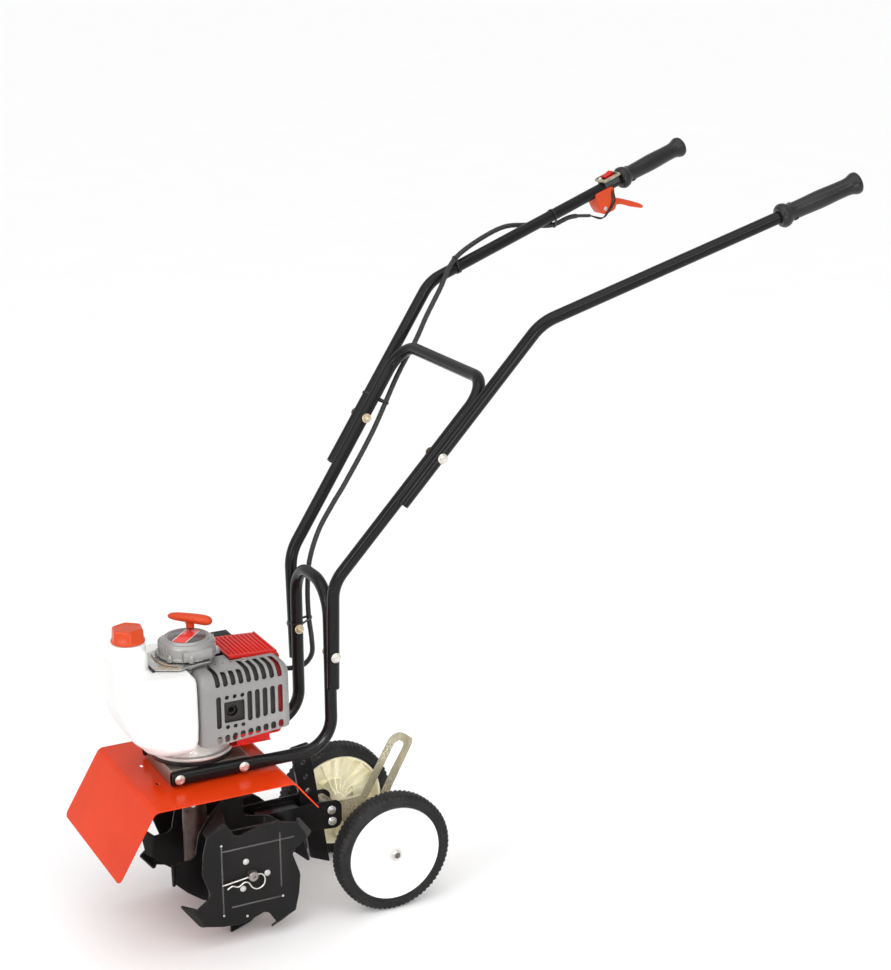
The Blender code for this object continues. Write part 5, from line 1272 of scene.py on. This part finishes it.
def tine_plate(name, node, x, turn, bend_side):
    """Plate with four blades, each leading corner folded sideways on a soft bend."""
    place = along_x((x, TINE_Y, TINE_Z))

    def at(radius, degree, height=0.0):
        return Vector((radius * cos(radians(degree)), radius * sin(radians(degree)), height * bend_side))

    blades = []
    for k in range(4):
        start = turn + 90 * k
        edge = [at(radius, start + degree) for radius, degree in BLADE]
        corner = at(FLAP_CORNER[0], start + FLAP_CORNER[1], FLAP_CORNER[2])
        tip = at(FLAP_TIP[0], start + FLAP_TIP[1], FLAP_TIP[2])
        free = [Vector(p) for p in eased([edge[2], tip, corner, edge[3]], 0.005, 5, closed=False)]
        fold = [edge[2].lerp(edge[3], i / (len(free) - 1)) for i in range(len(free))]
        blades.append((edge, fold, free))
    bm = bmesh.new()
    core = []
    for k, (edge, fold, free) in enumerate(blades):
        line = [bm.verts.new(place @ p) for p in fold]
        after = blades[(k + 1) % 4][0]
        run = eased([edge[3], edge[4], edge[5], edge[6], after[0], after[1], after[2]], 0.006, 4,
            closed=False)
        core += line + [bm.verts.new(place @ Vector(p)) for p in run[1:-1]]
        shares, soft = (0.0, 0.06, 0.13, 0.2, 0.3, 0.5, 0.75, 1.0), 0.28
        rows = [line]
        for t in shares[1:]:
            lift = (t * t / (2 * soft) if t < soft else t - soft / 2) / (1 - soft / 2)
            row = [line[0]]
            for low, high in list(zip(fold, free))[1:-1]:
                spot = low.lerp(high, t)
                spot.z = high.z * lift
                row.append(bm.verts.new(place @ spot))
            rows.append(row + [line[-1]])
        for low, high in zip(rows, rows[1:]):
            for i in range(len(low) - 1):
                corners = [low[i], low[i + 1], high[i + 1], high[i]]
                bm.faces.new(list(dict.fromkeys(corners)))
    bm.faces.new(core)
    plate = raw(name, bm, TINE_PAINT)
    thicken = plate.modifiers.new("sheet", "SOLIDIFY")
    thicken.thickness = TINE_SHEET
    thicken.offset = 0.0
    applied(plate)
    combine(plate, mesh_of(rod, SHAFT_R + GAP, -0.01, 0.01, place, 40))
    rounded(plate, 0.0006, 2, 50)
    settle(plate, "tines", node)
    flip = 1 if x > 0 else -1
    proud = along_x((x + TINE_SHEET / 2 * flip, TINE_Y, TINE_Z), flip)
    bm = bmesh.new()
    ends = []
    for angle, start, end in ((90, -0.046, 0.072), (0, -0.06, 0.031), (270, -0.051, 0.034),
            (180, -0.06, 0.06)):
        out = Vector((cos(radians(angle)), sin(radians(angle)), 0))
        run = Vector((out.y, -out.x, 0))
        points = []
        for s in (start, end):
            spot = out * 0.049 + run * s
            points.append(proud @ Vector((spot.x, spot.y * flip, -0.0007)))
        ends.append(points)
        capsule(bm, points[0], points[1], 0.0017, 12)
    piece(f"{name}_ribs", bm, TINE_RIB, "tines")
    bm = bmesh.new()
    for spot in (ends[3][0], ends[3][1], ends[2][0]):
        spin(bm, [(0, 0.0), (0.0021, 0.0), (0.0018, 0.0014), (0.0008, 0.0019), (0, 0.0019)],
            along_x(spot, flip), 20)
    weld = proud @ Vector((-0.01, -0.07 * flip, 0))
    spin(bm, [(0, 0.0), (0.0022, 0.0), (0.0018, 0.0007), (0, 0.0009)], along_x(weld, flip), 20)
    piece(f"{name}_dimples", bm, BRIGHT_STEEL, "tines")


def tines():
    """Shaft with four plates, their hubs, rivets and hairpin clips."""
    bm = bmesh.new()
    half = 0.13
    spin(bm, [(0.0022, -half + 0.002), (0.003, -half), (SHAFT_R - 0.0012, -half), (SHAFT_R, -half + 0.0012),
        (SHAFT_R, half - 0.0012), (SHAFT_R - 0.0012, half), (0.003, half), (0.0022, half - 0.002)], SHAFT, 48)
    bored = [v for v in bm.verts if abs(abs(v.co.x) - (half - 0.002)) < 1e-5]
    rings = [v for v in bored if (v.co - Vector((v.co.x, TINE_Y, TINE_Z))).length < 0.0023]
    for sign in (1, -1):
        loop = [v for v in rings if v.co.x * sign > 0]
        bm.faces.new(loop if sign > 0 else loop[::-1])
    shaft = raw("output_shaft", bm, STEEL)
    cutter = bmesh.new()
    for side in (1, -1):
        lean = pointing((side * CLIP_X, TINE_Y - 0.02, TINE_Z - 0.0023), CLIP_LEAN)
        rod(cutter, 0.0016, 0, 0.041, lean, 20)
    combine(shaft, cutter)
    settle(shaft, "tines", "tine_shaft")
    for side, word in SIDES:
        for n, (x, bend_side) in enumerate(zip(TINE_X, (-1, 1))):
            rank = "outer" if n == 0 else "inner"
            tine_plate(f"{word}_{rank}_blades", f"{word}_{rank}_tine", side * x, TINE_ANGLES[n],
                bend_side * side)
        outer, inner = TINE_X[0] - TINE_SHEET / 2 - GAP, TINE_X[1] + TINE_SHEET / 2 + GAP
        bore, sleeve, flange, thick = SHAFT_R + GAP, 0.013, 0.032, 0.002
        piece(f"{word}_sleeve", mesh_of(spin, [(bore, inner), (flange, inner), (flange, inner + thick),
            (sleeve + 0.002, inner + thick), (sleeve, inner + thick + 0.002), (sleeve, outer - thick - 0.002),
            (sleeve + 0.002, outer - thick), (flange, outer - thick), (flange, outer), (bore, outer)],
            along_x((0, TINE_Y, TINE_Z), side), 64, True, 0.0005), TINE_PAINT, "tines",
            f"{word}_tine_hub")
        bm = bmesh.new()
        for face, way in ((TINE_X[0] + TINE_SHEET / 2, 1), (TINE_X[1] - TINE_SHEET / 2, -1)):
            for degree in (111, 353, 233):
                spot = Vector((side * face, TINE_Y + 0.026 * cos(radians(degree)), TINE_Z
                    + 0.026 * sin(radians(degree))))
                spin(bm, [(0, -0.0002), (0.0052, -0.0002), (0.0051, 0.0007), (0.0042, 0.0016),
                    (0.0018, 0.0022), (0, 0.0023)], along_x(spot, side * way), 28)
        piece(f"{word}_rivets", bm, RIVET, "tines")
        hairpin(word, side)


def hairpin(word, side):
    """Clip with one straight leg through the shaft and one waved leg beside it."""
    lean = pointing((side * CLIP_X, TINE_Y, TINE_Z), (side, 0, 0), -Vector(CLIP_LEAN))
    wire = [(0.052, 0.0), (0.02, 0.0), (-0.008, 0.0), (-0.0165, -0.004), (-0.0185, -0.013), (-0.014, -0.022),
        (-0.004, -0.0245), (0.004, -0.019), (0.009, -0.009), (0.016, -0.0065), (0.026, -0.0105),
        (0.036, -0.006), (0.045, -0.009)]
    points = [lean @ Vector((u, -v * side, 0.0)) for u, v in wire]
    path = refined(points[:2], 0.004)[:-1] + smooth_points(points[1:], 0.0012)
    bm = bmesh.new()
    count = len(path)
    sweep(bm, path, lambda n, p: (0.00135 * min(1.0, 0.6 + 0.2 * min(n, count - 1 - n)),) * 2, side=(1, 0, 0),
        sides=16)
    piece(f"{word}_hairpin", bm, PIN_WIRE, "tines", f"{word}_shaft_clip", 60)


# ---------------------------------------------------------------- hitch, depth bar and wheels

def hex_bolt_x(bm, centre, x, side):
    """Washer, hexagon head and the bolt's end, facing along X."""
    radius, height = 0.0056, 0.0042
    place = pointing((x, centre.y, centre.z), (side, 0, 0), (0, 0.9, 0.43))
    spin(bm, [(0, 0), (radius * 1.3, 0), (radius * 1.3, 0.0007), (radius * 1.15, 0.0012), (0, 0.0012)], place,
        32)
    spin(bm, [(0, 0.001), (radius * 1.05, 0.001), (radius * 1.05, height), (radius * 0.85, height + 0.0008),
        (0, height + 0.0008)], place, 6)
    spin(bm, [(0, height), (radius * 0.5, height), (radius * 0.45, height + 0.0016), (0, height + 0.0018)],
        place, 20)


def hitch():
    """Two side plates with rounded ends, bridged by spacers, and their two bolts."""
    outline = [(-0.405, 0.164), (-0.385, 0.164), (-0.245, 0.166)] + arc(-0.214, 0.15, 0.014, 78, 0, 8)
    outline += arc(-0.214, 0.128, 0.014, 0, -78, 8) + [(-0.26, 0.118), (-0.345, 0.128), (-0.385, 0.148),
        (-0.405, 0.148)]
    sheet = 0.003
    bm = bmesh.new()
    prism(bm, outline, in_side_view(HITCH_X), sheet)
    plates = raw("hitch_cheeks", bm, BLACK)
    for make in ((-HITCH_X - sheet, None), (None, ((-0.342, 0.14), (-0.27, 0.156))),
            (None, ((-0.276, 0.125), (-0.268, 0.156)))):
        bm = bmesh.new()
        if make[1]:
            (y0, z0), (y1, z1) = make[1]
            box(bm, (-HITCH_X - 0.001, y0, z0), (HITCH_X + 0.001, y1, z1), bevel=0.0008)
        else:
            prism(bm, outline, in_side_view(make[0]), sheet)
        combine(plates, bm, "UNION")
    reach = HITCH_X + sheet + 0.01
    holes = bmesh.new()
    for centre in (PIVOT, LOCK):
        rod(holes, 0.0043, -reach, reach, along_x(centre), 32)
    combine(plates, holes)
    rounded(plates, 0.0007, 3, 50)
    settle(plates, "frame", "hitch_bracket")
    for name, centre, node in (("pivot", PIVOT, "wheel_pivot_bolt"), ("lock", LOCK, ())):
        bm = bmesh.new()
        x = HITCH_X + sheet + GAP
        for side in (1, -1):
            hex_bolt_x(bm, centre, side * x, side)
        if node:
            rod(bm, 0.004, -x, x, along_x(centre), 24)
        piece(f"{name}_screw", bm, BRIGHT_STEEL, "frame", node, 25)


def bar():
    """Depth bar with its row of pin bores and a slanted foot."""
    axis = Vector((0, sin(BAR_LEAN), -cos(BAR_LEAN)))
    top = Vector((0, -0.2475 + (0.16 - BAR_TOP_Z) * tan(BAR_LEAN), BAR_TOP_Z))
    length = (BAR_TOP_Z - 0.042) / cos(BAR_LEAN)
    half, thick = 0.016, 0.004
    place = pointing(top - Vector((thick, 0, 0)), (1, 0, 0), (0, cos(BAR_LEAN), sin(BAR_LEAN)))
    outline = eased([(-half, 0.0), (-half, -length + 0.02), (half, -length), (half, 0.0)], 0.003, 4)
    blade = raw("depth_blade", mesh_of(prism, outline, place, 2 * thick), BLACK)
    holes = bmesh.new()
    for n in range(4):
        centre = top + axis * (0.03 + 0.026 * n)
        rod(holes, 0.0042, -0.02, 0.02, along_x(centre), 32)
    combine(blade, holes)
    rounded(blade, 0.0008, 3, 50)
    settle(blade, "depth_bar", "depth_bar")


def carrier():
    """Plated wheel carrier: two cheeks, a web, the axle tube and the slotted adjusting arm."""
    cheek = arc(PIVOT.y, PIVOT.z, 0.012, 60, 250, 12) + [(-0.19, 0.117)]
    cheek += arc(AXLE_Y, WHEEL_R, 0.0125, 225, 400, 12) + [(-0.152, 0.14), (-0.16, 0.159)]
    inner, sheet = 0.018, 0.003
    body = raw("carrier_plates", mesh_of(prism, cheek, in_side_view(inner), sheet), OLIVE_ZINC)
    far_cheek = arc(PIVOT.y, PIVOT.z, 0.0105, 60, 250, 12) + [(-0.19, 0.117)]
    far_cheek += arc(AXLE_Y, WHEEL_R, 0.0125, 225, 400, 12) + [(-0.156, 0.124), (-0.19, 0.137)]
    combine(body, mesh_of(prism, far_cheek, in_side_view(-inner - sheet), sheet), "UNION")
    combine(body, mesh_of(box, (-inner - 0.001, -0.19, 0.115), (inner + 0.001, -0.186, 0.135), bevel=0.0008),
        "UNION")
    half = 0.0765
    combine(body, mesh_of(spin, [(0, -half), (0.008, -half), (0.0085, -half + 0.0006),
        (0.0085, half - 0.0006), (0.008, half), (0, half)], AXLE, 48), "UNION")
    arm = [(-0.164, 0.1585), (-0.156, 0.125), (-0.129, 0.125), (-0.1096, 0.1596), (-0.069, 0.2335),
        (-0.0672, 0.2425), (-0.082, 0.255), (-0.0915, 0.2583), (-0.101, 0.2568), (-0.1099, 0.2499)]
    corners = (0.004, 0.006, 0.006, 0.008, 0.004, 0.0015, 0.005, 0.005, 0.005, 0.005)
    shaped = []
    for i, radius in enumerate(corners):
        part = eased([arm[i - 1], arm[i], arm[(i + 1) % len(arm)]], radius, 5, closed=False)
        shaped += part[1:-1]
    combine(body, mesh_of(prism, shaped, in_side_view(inner + 0.0002), sheet - 0.0004), "UNION")
    slot = eased([(-0.154, 0.15), (-0.148, 0.144), (-0.134, 0.144), (-0.13, 0.15), (-0.1243, 0.161),
        (-0.1073, 0.193), (-0.0865, 0.227), (-0.083, 0.234), (-0.085, 0.2405), (-0.0918, 0.2448),
        (-0.1, 0.242), (-0.1075, 0.2298), (-0.1275, 0.1939)], 0.0022, 4)
    bm = bmesh.new()
    prism(bm, slot, in_side_view(inner - 0.01), 0.03)
    rod(bm, 0.0043, -0.03, 0.03, along_x(PIVOT), 32)
    combine(body, bm)
    combine(body, mesh_of(rod, 0.0053, -0.09, 0.09, AXLE, 32))
    rounded(body, 0.0005, 2, 50)
    settle(body, "wheel_carrier", "wheel_bracket")
    bm = bmesh.new()
    reach = 0.1385
    spin(bm, [(0, -reach), (0.004, -reach), (0.005, -reach + 0.0012), (0.005, reach - 0.0012), (0.004, reach),
        (0, reach)], AXLE, 32)
    piece("wheel_axle", bm, AXLE_STEEL, "wheel_carrier", "axle")


def wheel(word, side):
    """Moulded wheel with ribs inside, its washer and push nut, and a rubber tyre with a block tread."""
    place = pointing((0, AXLE_Y, WHEEL_R), (side, 0, 0), (0, 0, -1))
    inner, outer = TYRE_X
    bore = 0.0053
    body = f"{word}_road_wheel"
    piece(f"{word}_disc_face", mesh_of(spin, [(0.012, outer - 0.004), (0.0735, outer - 0.0046),
        (0.0745, outer - 0.0046), (DISC_R - 0.0008, outer - 0.0046), (DISC_R - 0.0002, outer - 0.003),
        (DISC_R - 0.001, outer - 0.0008), (DISC_R - 0.0026, outer - 0.0004), (0.07, outer + 0.0002),
        (0.045, outer + 0.0014), (0.02, outer + 0.0022), (0.012, outer + 0.0022)], place, 128, True),
        WHITE_DISC, body, f"{word}_wheel", 40)
    bm = bmesh.new()
    spin(bm, [(bore, 0.077), (0.013, 0.077), (0.014, outer - 0.009), (0.02, outer - 0.0055),
        (0.073, outer - 0.0055), (0.0745, outer - 0.007), (0.0745, inner + 0.006), (0.076, inner + 0.0022),
        (DISC_R, inner + 0.0015), (DISC_R, outer - 0.0046), (0.0125, outer - 0.0042), (bore, outer - 0.0042)],
        place, 128, True, 0.0006)
    ribs = 18
    for i in range(ribs):
        rib = place @ Matrix.Rotation(2 * pi * i / ribs, 4, "Z") @ pointing((0, -0.0009, 0), (0, 1, 0))
        prism(bm, [(0.0135, -outer + 0.006), (0.074, -outer + 0.006), (0.074, -inner - 0.01),
            (0.04, -inner - 0.016), (0.02, -inner - 0.008), (0.0135, -inner - 0.002)], rib, 0.0018)
    spin(bm, [(0.0345, outer - 0.006), (0.036, outer - 0.006), (0.036, inner + 0.015),
        (0.0345, inner + 0.015)], place, 72, True)
    piece(f"{word}_wheel_body", bm, CREAM, body, (), 40)
    piece(f"{word}_hub_washer", mesh_of(spin, [(bore, outer + 0.0012), (0.0125, outer + 0.0012),
        (0.0122, outer + 0.0026), (0.0105, outer + 0.0032), (bore, outer + 0.0034)], place, 64, True, 0.0003),
        CAST, body, (), 40)
    piece(f"{word}_push_nut", mesh_of(spin, [(bore - 0.0002, outer + 0.0032), (0.0078, outer + 0.0032),
        (0.008, outer + 0.0038), (0.0066, outer + 0.0052), (0.006, outer + 0.0072),
        (bore - 0.0002, outer + 0.0074)], place, 48, True, 0.0004), BRIGHT_STEEL, body, (), 30)
    tyre(word, place, body)


def tyre(word, place, body):
    inner, outer = TYRE_X
    middle, half = (inner + outer) / 2, (outer - inner) / 2
    seat = DISC_R + GAP
    profile = [(seat, -half + 0.0035), (0.0815, -half + 0.0008), (0.083, -half + 0.0001),
        (0.085, -half - 0.0002), (0.0862, -half + 0.0006), (0.09, -half + 0.0008), (0.093, -half + 0.0014),
        (0.0955, -half + 0.0024), (0.0975, -half + 0.0042), (0.099, -half + 0.0068), (0.0998, -half + 0.0095),
        (0.1, -0.007), (0.1, -0.0035), (0.1, 0.0), (0.1, 0.0035), (0.1, 0.007), (0.0998, half - 0.0085),
        (0.0992, half - 0.0062), (0.0978, half - 0.0038), (0.0955, half - 0.002), (0.093, half - 0.0012),
        (0.09, half - 0.0006), (0.0862, half - 0.0006), (0.085, half + 0.0002), (0.083, half + 0.0001),
        (0.0815, half - 0.0008), (seat, half - 0.0015)]
    steps = LUGS * 6
    bm = bmesh.new()
    rings = []
    for radius, x in profile:
        ring = []
        for i in range(steps):
            turn = LUGS * i / steps
            lean = 0.5 * abs(x / half * 2 - round(x / half * 2)) + (0.5 if x > 0 else 0.0)
            wave = abs((turn + lean) % 1.0 - 0.5) * 2
            depth = 0.0
            if radius > 0.092:
                share = min(1.0, (radius - 0.092) / 0.005)
                depth = 0.0019 * share * max(0.0, min(1.0, (wave - 0.42) * 4))
                if abs(abs(x) - 0.0058) < 0.003 and radius > 0.0995:
                    depth = max(depth, 0.0012)
            a = 2 * pi * i / steps
            reach = radius - depth
            ring.append(bm.verts.new(place @ Vector((reach * cos(a), reach * sin(a), middle + x))))
        rings.append(ring)
    skin(bm, rings, closed=True)
    piece(f"{word}_tread", bm, TYRE, body, f"{word}_tyre", 50)


# ---------------------------------------------------------------- controls

def control_place(along):
    """On the right handle, local Z along the tube towards the front, local Y away from the ground."""
    back = handle_back(-1)
    origin = mirrored(HANDLE_TIP, -1) + back * along
    return pointing(origin, back, Vector((0, 0, 1)).cross(back))


def tube_room(along):
    """The space that the right handle's tube takes."""
    length = 0.05
    room = bmesh.new()
    rod(room, TUBE_R + GAP, -length, length, control_place(along), 40)
    return room


def stop_switch():
    """Saddle on the tube with a folded steel surround, a bezel and the red rocker."""
    place = control_place(SWITCH_ALONG)
    saddle = raw("switch_saddle", mesh_of(box, (-0.0112, 0.0004, -0.016), (0.0112, 0.015, 0.016), place,
        0.0016), DARK_PLASTIC)
    combine(saddle, tube_room(SWITCH_ALONG))
    combine(saddle, mesh_of(box, (-0.0072, 0.0118, -0.0112), (0.0072, 0.03, 0.0112), place))
    rounded(saddle, 0.0004)
    settle(saddle, "frame")
    surround = raw("switch_surround", mesh_of(box, (-0.0142, 0.0115, -0.0188), (0.0142, 0.0172, 0.0188),
        place, 0.0016), OLIVE_ZINC)
    combine(surround, mesh_of(box, (-0.0129, 0.0, -0.0176), (0.0129, 0.016, 0.0176), place))
    combine(surround, mesh_of(box, (-0.0118, 0.01, -0.015), (0.0118, 0.03, 0.016), place, 0.0012))
    combine(surround, tube_room(SWITCH_ALONG))
    rounded(surround, 0.0004)
    settle(surround, "frame", "switch_bracket")
    bm = bmesh.new()
    tab = place @ upright(0.0, 0.0165, 0.0182)
    box(bm, (-0.005, -0.001, -0.003), (0.005, 0.0006, 0.0015), tab, 0.0005)
    piece("switch_tab", bm, OLIVE_ZINC, "frame")
    bm = bmesh.new()
    stud = pointing(place @ Vector((0.0, 0.0169, 0.016)), place.to_3x3() @ Vector((0, 1, 0)),
        place.to_3x3() @ Vector((1, 0, 0)))
    spin(bm, [(0, 0), (0.0036, 0), (0.0036, 0.0007), (0.0029, 0.0009), (0.0029, 0.0028), (0.0022, 0.0033),
        (0, 0.0033)], stud, 6)
    piece("switch_screw", bm, BRIGHT_STEEL, "frame", (), 25)
    outline = eased([(-0.0092, 0.015), (-0.0052, 0.014), (0.0052, 0.014), (0.0092, 0.015), (0.0095, 0.0188),
        (0.0, 0.0196), (-0.0095, 0.0224)], 0.0016, 4)
    cap = raw("rocker_cap", mesh_of(loft, [[place @ Vector((x, h, t)) for t, h in outline]
        for x in (-0.0065, 0.0065)]), RED_PLASTIC)
    rounded(cap, 0.0006, 3, 40)
    settle(cap, "rocker", "kill_switch")
    bm = bmesh.new()
    for k in range(3):
        z = -0.0075 + 0.0014 * k
        start, end = Vector((-0.0045, 0.0214 - 0.00042 * k, z)), Vector((0.0045, 0.0214 - 0.00042 * k, z))
        capsule(bm, place @ start, place @ end, 0.0005, 8)
    piece("rocker_ridges", bm, RED_PLASTIC, "rocker")


def throttle():
    """Clamshell below the handle, its two screws and the finger lever."""
    place = control_place(THROTTLE_ALONG)
    outline = [(0.02, 0.0004), (0.02, -0.022), (0.015, -0.0385), (0.008, -0.042), (-0.012, -0.042),
        (-0.02, -0.033), (-0.02, 0.0004)]
    shaped = eased(outline, 0.0045, 5)
    shell = raw("throttle_shell", mesh_of(loft,
        [[place @ Vector((x, h * (1 - shrink) - 0.021 * shrink, t * (1 - shrink))) for t, h in shaped] for x,
        shrink in ((-0.014, 0.06), (-0.0132, 0.02), (-0.012, 0.0), (0.012, 0.0), (0.0132, 0.02),
        (0.014, 0.06))]), ORANGE_PLASTIC)
    combine(shell, tube_room(THROTTLE_ALONG))
    combine(shell, mesh_of(box, (-0.007, -0.036, -0.03), (0.007, -0.016, 0.01), place, 0.001))
    seam = bmesh.new()
    for low, high in (((-0.0004, -0.06, 0.0192), (0.0004, 0.002, 0.03)), ((-0.0004, -0.06, -0.022),
            (0.0004, -0.0412, 0.022))):
        box(seam, low, high, place)
    combine(shell, seam)
    rounded(shell, 0.0005, 2, 40)
    settle(shell, "frame", "throttle_housing")
    bm = bmesh.new()
    for side in (1, -1):
        spot = place @ Vector((side * 0.0138, -0.031, 0.0075))
        cap_screw(bm, pointing(spot, place.to_3x3() @ Vector((side, 0, 0)),
            place.to_3x3() @ Vector((0, 1, 0))), 0.0026, 0.0018)
    piece("throttle_screws", bm, BRIGHT_STEEL, "frame", (), 25)
    lever = [(0.006, -0.026), (0.003, -0.0208), (-0.017, -0.024), (-0.034, -0.031), (-0.055, -0.045),
        (-0.073, -0.0585), (-0.0785, -0.0645), (-0.078, -0.068), (-0.074, -0.0682), (-0.053, -0.056),
        (-0.034, -0.0425), (-0.008, -0.0335), (0.003, -0.0312)]
    shaped = eased(lever, 0.003, 4)
    arm = raw("throttle_lever", mesh_of(loft, [[place @ Vector((x, h, t)) for t, h in shaped]
        for x in (-0.0045, 0.0045)]), ORANGE_PLASTIC)
    rounded(arm, 0.0016, 4, 40)
    settle(arm, "throttle", "throttle_trigger")


def cable_tie(name, centre, cable, axis):
    """Strap round a tube and the cable beside it, with its ratchet head."""
    axis = Vector(axis).normalized()
    centre, cable = Vector(centre), Vector(cable)
    off = cable - centre
    off -= axis * off.dot(axis)
    place = pointing(centre, axis, off)
    reach = off.length

    def loop(extra):
        points = []
        for i in range(48):
            a = 2 * pi * i / 48
            d = Vector((cos(a), sin(a)))
            near, far = TUBE_R + extra, reach * d.x + CABLE_R + extra
            points.append(d * near if near >= far else Vector((reach, 0)) + d * (CABLE_R + extra))
        return points

    bm = bmesh.new()
    rings = []
    for extra, z in ((0.0003, -0.0018), (0.0003, 0.0018), (0.0014, 0.0018), (0.0014, -0.0018)):
        rings.append([bm.verts.new(place @ Vector((p.x, p.y, z))) for p in loop(extra)])
    skin(bm, rings, closed=True)
    box(bm, (-0.003, TUBE_R + 0.0002, -0.0026), (0.003, TUBE_R + 0.0042, 0.0026), place, 0.0006)
    piece(name, bm, RUBBER, "frame")


def cable():
    """Braided sleeve from the throttle to the carburettor, its ties and the two switch wires."""
    path = smooth_points(CABLE_ROUTE, 0.0035)
    total = len(path)

    def thickness(n, point):
        end = min(n, total - 1 - n)
        half = 0.0029 if end < 6 else CABLE_R * (0.985 + 0.015 * sin(n * 1.9))
        return half, half

    piece("sleeved_cable", mesh_of(sweep, path, thickness, sides=20), SLEEVE, "frame",
        "control_cable", 60)
    right = [mirrored(p, -1) for p in (HANDLE_FOOT, HANDLE_KNEE, HANDLE_TIP)]
    lower, upper = right[1] - right[0], right[2] - right[1]
    for n, (line, start, y) in enumerate(((lower, right[0], -0.06), (upper, right[1], 0.125),
            (upper, right[1], 0.33))):
        centre = start + line * ((y - start.y) / line.y)
        near = min(path, key=lambda p: (p - centre).length)
        direction = line.normalized()
        centre = centre + direction * (near - centre).dot(direction)
        cable_tie(f"cable_tie_{n}", centre, near, line)
    centre = Vector((-LEG_X, LEG_Y, 0.451))
    near = min(path, key=lambda p: (p - centre).length)
    centre.z = near.z
    cable_tie("cable_tie_leg", centre, near, (0, 0, 1))
    switch, housing = control_place(SWITCH_ALONG), control_place(THROTTLE_ALONG)
    bm = bmesh.new()
    for shift in (0.0, 0.0042):
        points = [switch @ Vector((0.0085, 0.0075, 0.004 + shift)),
            switch @ Vector((0.0125, -0.002, 0.003 + shift)),
            housing @ Vector((0.015, -0.012, -0.017 + shift)),
            housing @ Vector((0.0156, -0.027, -0.014 + 1.4 * shift)),
            housing @ Vector((0.0152, -0.039, 0.004 + shift)),
            housing @ Vector((0.013, -0.044, 0.018 + shift)), Vector(CABLE_ROUTE[0])]
        sweep(bm, smooth_points(points, 0.002), 0.00115, sides=12)
    piece("switch_wires", bm, RUBBER, "frame", (), 60)


# ---------------------------------------------------------------- inner parts, light and camera

def inner_parts():
    """Detailed finishes on the CAD nodes that stay as they are."""
    finishes = {"flywheel": CAST, "crankshaft": STEEL, "clutch_shoes": CAST, "clutch_drum": STEEL,
        "drive_shaft": STEEL, "worm_wheel": BRONZE, "starter_pulley": CREAM}
    for name, surface in finishes.items():
        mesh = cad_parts[name].data
        mesh.materials.clear()
        mesh.materials.append(surface)


def lamp(kind, name, energy, location, target, size=1.0, spread=180):
    light = bpy.data.lights.new(name, kind)
    light.energy = energy
    if kind == "AREA":
        light.shape = "RECTANGLE"
        light.size, light.size_y = size
        light.spread = radians(spread)
    else:
        light.angle = size
    item = bpy.data.objects.new(name, light)
    item.matrix_world = pointing(location, Vector(location) - Vector(target), (1, 0, 0))
    bpy.context.scene.collection.objects.link(item)


def studio():
    """Pale floor, white surroundings and soft lights."""
    bm = bmesh.new()
    corners = [bm.verts.new((x, y, 0.0)) for x, y in ((-80, -80), (80, -80), (80, 80), (-80, 80))]
    bm.faces.new(corners)
    floor = raw("floor", bm, FLOOR)
    world = bpy.data.worlds.new("studio")
    world.use_nodes = True
    world.node_tree.nodes["Background"].inputs["Color"].default_value = (1, 1, 1, 1)
    world.node_tree.nodes["Background"].inputs["Strength"].default_value = WORLD_LIGHT
    bpy.context.scene.world = world
    centre = (0.0, -0.15, 0.45)
    lamp("SUN", "sky", 1.25, (0.9, -1.1, 3.0), centre, radians(70))
    lamp("AREA", "front_box", 21, (1.6, -3.2, 1.9), centre, (0.5, 1.4))
    lamp("AREA", "left_box", 13, (3.2, 0.6, 2.6), centre, (0.4, 1.6))
    lamp("AREA", "low_box", 17, (3.3, -0.6, 0.55), (0.0, 0.1, 0.2), (1.6, 0.9))
    lamp("AREA", "wheel_box", 0.28, (2.7, -1.3, 1.35), (-0.11, -0.1, 0.13), (0.3, 0.3), 8)
    bpy.context.scene.view_settings.view_transform = "Standard"


def camera():
    data = bpy.data.cameras.new("camera")
    data.lens = 76.65
    data.sensor_fit = "VERTICAL"
    data.sensor_height = 36.0
    data.sensor_width = 36.0
    data.shift_x = -0.001196
    data.shift_y = 0.000237
    data.clip_start = 0.01
    data.clip_end = 400
    item = bpy.data.objects.new("camera", data)
    right, up = Vector((0.4534, 0.8913, -0.006)), Vector((-0.2517, 0.1344, 0.9584))
    back = right.cross(up).normalized()
    up = back.cross(right).normalized()
    turn = Matrix((right.normalized(), up, back)).transposed().to_4x4()
    item.matrix_world = Matrix.Translation((2.8746, -1.4463, 1.6245)) @ turn
    bpy.context.scene.collection.objects.link(item)
    bpy.context.scene.camera = item


WORLD_LIGHT = 0.72
FLOOR = material("floor_sheet", (0.93, 0.93, 0.93), (0.92, 0.92, 0.92), 0.9, blotch=3, grain=60, bump=0.01,
    spread=0.02)

frame_tubes()
frame_bolts()
fender_plate()
engine_seat()
lower_engine()
cylinder_block()
silencer()
slotted_cover()
red_shroud()
starter()
pull_handle()
tank()
screw_cap()
tank_strap()
right_side_fittings()
gearbox()
tines()
hitch()
bar()
carrier()
for side, word in SIDES:
    wheel(word, side)
stop_switch()
throttle()
cable()
inner_parts()
studio()
camera()
